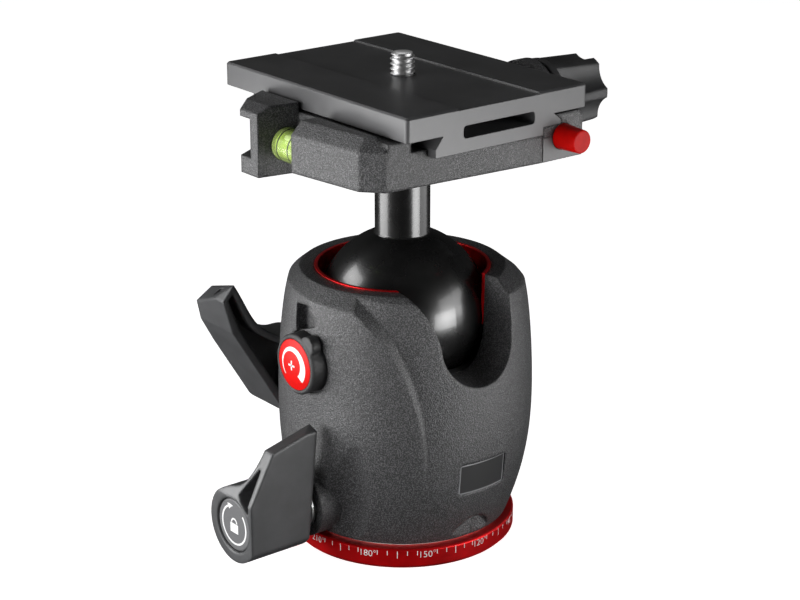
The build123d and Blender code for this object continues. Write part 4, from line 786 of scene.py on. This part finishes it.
class HEAD_OT_emblem_mark(bpy.types.Operator):
    """Prints a plain growing wedge and a plus sign on the friction knob's red dome"""

    bl_idname = "head.emblem_mark"
    bl_label = "Friction mark"

    def execute(self, context):
        sizes = settings()[1]
        low, high = corners("friction_emblem")
        middle = (low + high) / 2
        radius = (high.x - low.x) / 2
        curve = (radius ** 2 + EMBLEM_DOME ** 2) / (2 * EMBLEM_DOME)
        thick = sizes.print_thickness * 2
        shape = bmesh.new()

        def wedge(along, across):
            angle = WEDGE_START - along * WEDGE_ARC
            reach = radius * WEDGE_RING + across * (WEDGE_THIN_END + along * WEDGE_GROWTH)
            return Vector((reach * cos(angle), reach * sin(angle), 0))

        band(shape, 64, thick, wedge)
        for tilt in (0, 90):
            place = Matrix.Translation((0, 0, thick / 2)) @ Matrix.Rotation(radians(tilt), 4, "Z")
            scale = Matrix.Diagonal((PLUS_ARM, PLUS_WIDTH, thick, 1))
            bmesh.ops.create_cube(shape, size=1, matrix=place @ scale)
        long_edges = [edge for edge in shape.edges if edge.calc_length() > MARK_LONGEST_EDGE]
        bmesh.ops.subdivide_edges(shape, edges=long_edges, cuts=2, use_grid_fill=True)

        def lay(point):
            reach = sqrt(point.x ** 2 + point.y ** 2)
            rise = sqrt(curve ** 2 - reach ** 2) - (curve - EMBLEM_DOME)
            return Vector((middle.x + point.x, high.y - EMBLEM_DOME - rise - point.z + thick * 0.6,
                           middle.z + point.y))

        move_points(shape.verts, lay)
        bmesh.ops.recalc_face_normals(shape, faces=shape.faces)
        piece("friction_mark", shape, "white_print", "friction_knob")
        return {"FINISHED"}


class HEAD_OT_level_details(bpy.types.Operator):
    """Adds the level's bubble and its two rings"""

    bl_idname = "head.level_details"
    bl_label = "Level"

    def execute(self, context):
        low, high = corners("level_vial")
        middle = (low + high) / 2
        radius = (high.y - low.y) / 2
        shape = bmesh.new()
        place = Matrix.Translation((low.x + BUBBLE_ALONG, middle.y - radius * BUBBLE_ASIDE,
                                    middle.z + radius * BUBBLE_RISE))
        bmesh.ops.create_uvsphere(shape, u_segments=24, v_segments=16, radius=1.0,
                                  matrix=place @ Matrix.Diagonal((*BUBBLE_HALF_SIZES, 1)))
        smooth(piece("level_bubble", shape, "bubble", "clamp"))
        shape = bmesh.new()
        outer, inner = radius + RING_PROUD, radius - RING_SUNK
        for offset in RING_PLACES:
            chain = [shape.verts.new((low.x + offset + along, middle.y + reach, middle.z))
                     for along, reach in ((0, inner), (0, outer), (RING_WIDTH, outer), (RING_WIDTH, inner))]
            edges = [shape.edges.new((chain[index], chain[(index + 1) % 4])) for index in range(4)]
            bmesh.ops.spin(shape, geom=chain + edges, cent=(0, middle.y, middle.z), axis=(1, 0, 0),
                           angle=2 * pi, steps=48, use_merge=True)
        bmesh.ops.recalc_face_normals(shape, faces=shape.faces)
        piece("level_rings", shape, "dark_print", "clamp")
        return {"FINISHED"}


# ------------------------------------------------------------------ studio
def lamp(name, azimuth, elevation, distance, width, height, power, diffuse=True, glossy=True):
    """A soft area lamp aimed at the head."""
    data = bpy.data.lights.new(name, "AREA")
    data.shape = "RECTANGLE"
    data.size = width
    data.size_y = height
    data.energy = power
    made = bpy.data.objects.new(name, data)
    bpy.context.scene.collection.objects.link(made)
    turn, rise = radians(azimuth), radians(elevation)
    away = Vector((cos(turn) * cos(rise), sin(turn) * cos(rise), sin(rise)))
    made.location = LAMP_AIM + away * distance
    made.rotation_euler = away.to_track_quat("Z", "Y").to_euler()
    made.visible_camera = False
    made.visible_diffuse = diffuse
    made.visible_glossy = glossy
    return made


class HEAD_OT_studio(bpy.types.Operator):
    """Sets up the pale floor, the lamps, the world and the camera"""

    bl_idname = "head.studio"
    bl_label = "Studio"

    view_azimuth: bpy.props.FloatProperty(
        name="View azimuth", description="0 looks along +Y", default=radians(51.538), subtype="ANGLE")
    view_elevation: bpy.props.FloatProperty(
        name="View elevation", description="Angle above the horizon", default=radians(19.618),
        subtype="ANGLE")
    view_distance: bpy.props.FloatProperty(
        name="View distance", description="From the camera to the head", default=571.37 * MM,
        subtype="DISTANCE", unit="LENGTH")
    aim_height: bpy.props.FloatProperty(
        name="Aim height", description="Upward shift of the aim in the picture plane", default=59.6 * MM,
        subtype="DISTANCE", unit="LENGTH")
    aim_side: bpy.props.FloatProperty(
        name="Aim side", description="Sideways shift of the aim in the picture plane", default=-0.637 * MM,
        subtype="DISTANCE", unit="LENGTH")
    lens: bpy.props.FloatProperty(name="Lens", description="Focal length in millimetres", default=94.467)

    def execute(self, context):
        scene = context.scene
        scene.view_settings.view_transform = "Standard"
        self.floor()
        self.world(scene)
        self.lamps()
        self.camera(scene)
        return {"FINISHED"}

    def floor(self):
        """A pale disc that shows white, keeps the head's shadow and is dark in its gloss."""
        shape = bmesh.new()
        bmesh.ops.create_circle(shape, cap_ends=True, segments=96, radius=FLOOR_RADIUS)
        mesh = bpy.data.meshes.new("studio_floor")
        shape.to_mesh(mesh)
        shape.free()
        made = bpy.data.objects.new("studio_floor", mesh)
        bpy.context.scene.collection.objects.link(made)
        paint = bpy.data.materials.new("floor_paint")
        paint.use_nodes = True
        recipe = Recipe(paint.node_tree)
        straight = self.seen(recipe)
        glossy = recipe.node("ShaderNodeLightPath", output="Is Glossy Ray")
        away = recipe.mix(glossy, FLOOR_TONE, FLOOR_TONE_IN_GLOSS)
        pale = recipe.mix(straight, away, FLOOR_TONE_SEEN)
        matt = recipe.node("ShaderNodeBsdfDiffuse", inputs={"Color": pale})
        glow = recipe.node("ShaderNodeEmission", inputs={
            "Color": (1, 1, 1, 1), "Strength": straight * FLOOR_GLOW})
        both = recipe.node("ShaderNodeAddShader", inputs={0: matt, 1: glow})
        recipe.node("ShaderNodeOutputMaterial", inputs={"Surface": both})
        mesh.materials.append(paint)

    def seen(self, recipe):
        """1 for what the camera sees straight or through glass, and 0 for all else."""
        return (recipe.node("ShaderNodeLightPath", output="Is Camera Ray")
                + recipe.node("ShaderNodeLightPath", output="Is Transmission Ray"))

    def world(self, scene):
        """White to the camera, dim to the head and nearly black in its gloss."""
        world = bpy.data.worlds.new("studio_world")
        world.use_nodes = True
        scene.world = world
        recipe = Recipe(world.node_tree)
        glossy = recipe.node("ShaderNodeLightPath", output="Is Glossy Ray")
        seen = self.seen(recipe) * (1 - WORLD_LIGHT)
        strength = WORLD_LIGHT + seen - glossy * (WORLD_LIGHT - WORLD_LIGHT_IN_GLOSS)
        light = recipe.node("ShaderNodeBackground", inputs={"Color": (1, 1, 1, 1), "Strength": strength})
        recipe.node("ShaderNodeOutputWorld", inputs={"Surface": light})

    def lamps(self):
        """Soft lamps at the sides and above, a fill that leaves the gloss alone, and strips for the gloss."""
        lamp("left_lamp", -106, 3, 0.6, 0.3, 0.3, 3.8)
        lamp("right_lamp", 34, 6, 0.6, 0.45, 0.3, 2.4)
        lamp("top_lamp", 150, 55, 0.9, 0.4, 0.3, 0.6)
        lamp("front_fill", -78, -6, 0.4, 0.3, 0.16, 1.3, glossy=False)
        lamp("left_strip", -122, -8, 0.2, 0.15, 0.07, 0.32, diffuse=False)
        lamp("ball_strip", -130, 29, 0.3, 0.16, 0.1, 0.5, diffuse=False)
        lamp("right_strip", 17, -8, 0.2, 0.1, 0.07, 0.33, diffuse=False)
        lamp("far_right_strip", 58, -8, 0.2, 0.14, 0.07, 0.08, diffuse=False)

    def camera(self, scene):
        """A camera at the head's own viewing angle."""
        data = bpy.data.cameras.new("studio_camera")
        data.sensor_width = 36
        data.lens = self.lens
        data.clip_start = 0.01
        made = bpy.data.objects.new("studio_camera", data)
        scene.collection.objects.link(made)
        turn, rise = self.view_azimuth, self.view_elevation
        right = Vector((cos(turn), sin(turn), 0))
        ahead = Vector((-sin(turn) * cos(rise), cos(turn) * cos(rise), -sin(rise)))
        up = right.cross(ahead)
        made.location = up * self.aim_height + right * self.aim_side - ahead * self.view_distance
        made.rotation_euler = ahead.to_track_quat("-Z", "Y").to_euler()
        scene.camera = made


class HEAD_PT_panel(bpy.types.Panel):
    """Lists the steps of the dressing"""

    bl_label = "Ball head"
    bl_space_type = "VIEW_3D"
    bl_region_type = "UI"
    bl_category = "Ball head"

    def draw(self, context):
        for group in (context.scene.head_sizes, context.scene.head_colours):
            for name in group.__annotations__:
                self.layout.prop(group, name)
        for step in STEPS:
            self.layout.operator(step.bl_idname)


STEPS = (HEAD_OT_studio, HEAD_OT_finishes, HEAD_OT_camera_screw, HEAD_OT_pan_scale, HEAD_OT_index_line,
         HEAD_OT_cap_signs, HEAD_OT_emblem_mark, HEAD_OT_level_details)
CLASSES = (HeadSizes, HeadColours, *STEPS, HEAD_PT_panel)


def register():
    """Registers the classes and their settings."""
    for item in CLASSES:
        bpy.utils.register_class(item)
    bpy.types.Scene.head_sizes = bpy.props.PointerProperty(type=HeadSizes)
    bpy.types.Scene.head_colours = bpy.props.PointerProperty(type=HeadColours)


def unregister():
    """Takes the classes and their settings away."""
    del bpy.types.Scene.head_colours
    del bpy.types.Scene.head_sizes
    for item in reversed(CLASSES):
        bpy.utils.unregister_class(item)


def main():
    """Dresses the head."""
    register()
    for step in STEPS:
        group, name = step.bl_idname.split(".")
        getattr(getattr(bpy.ops, group), name)()


if __name__ == "__main__":
    main()
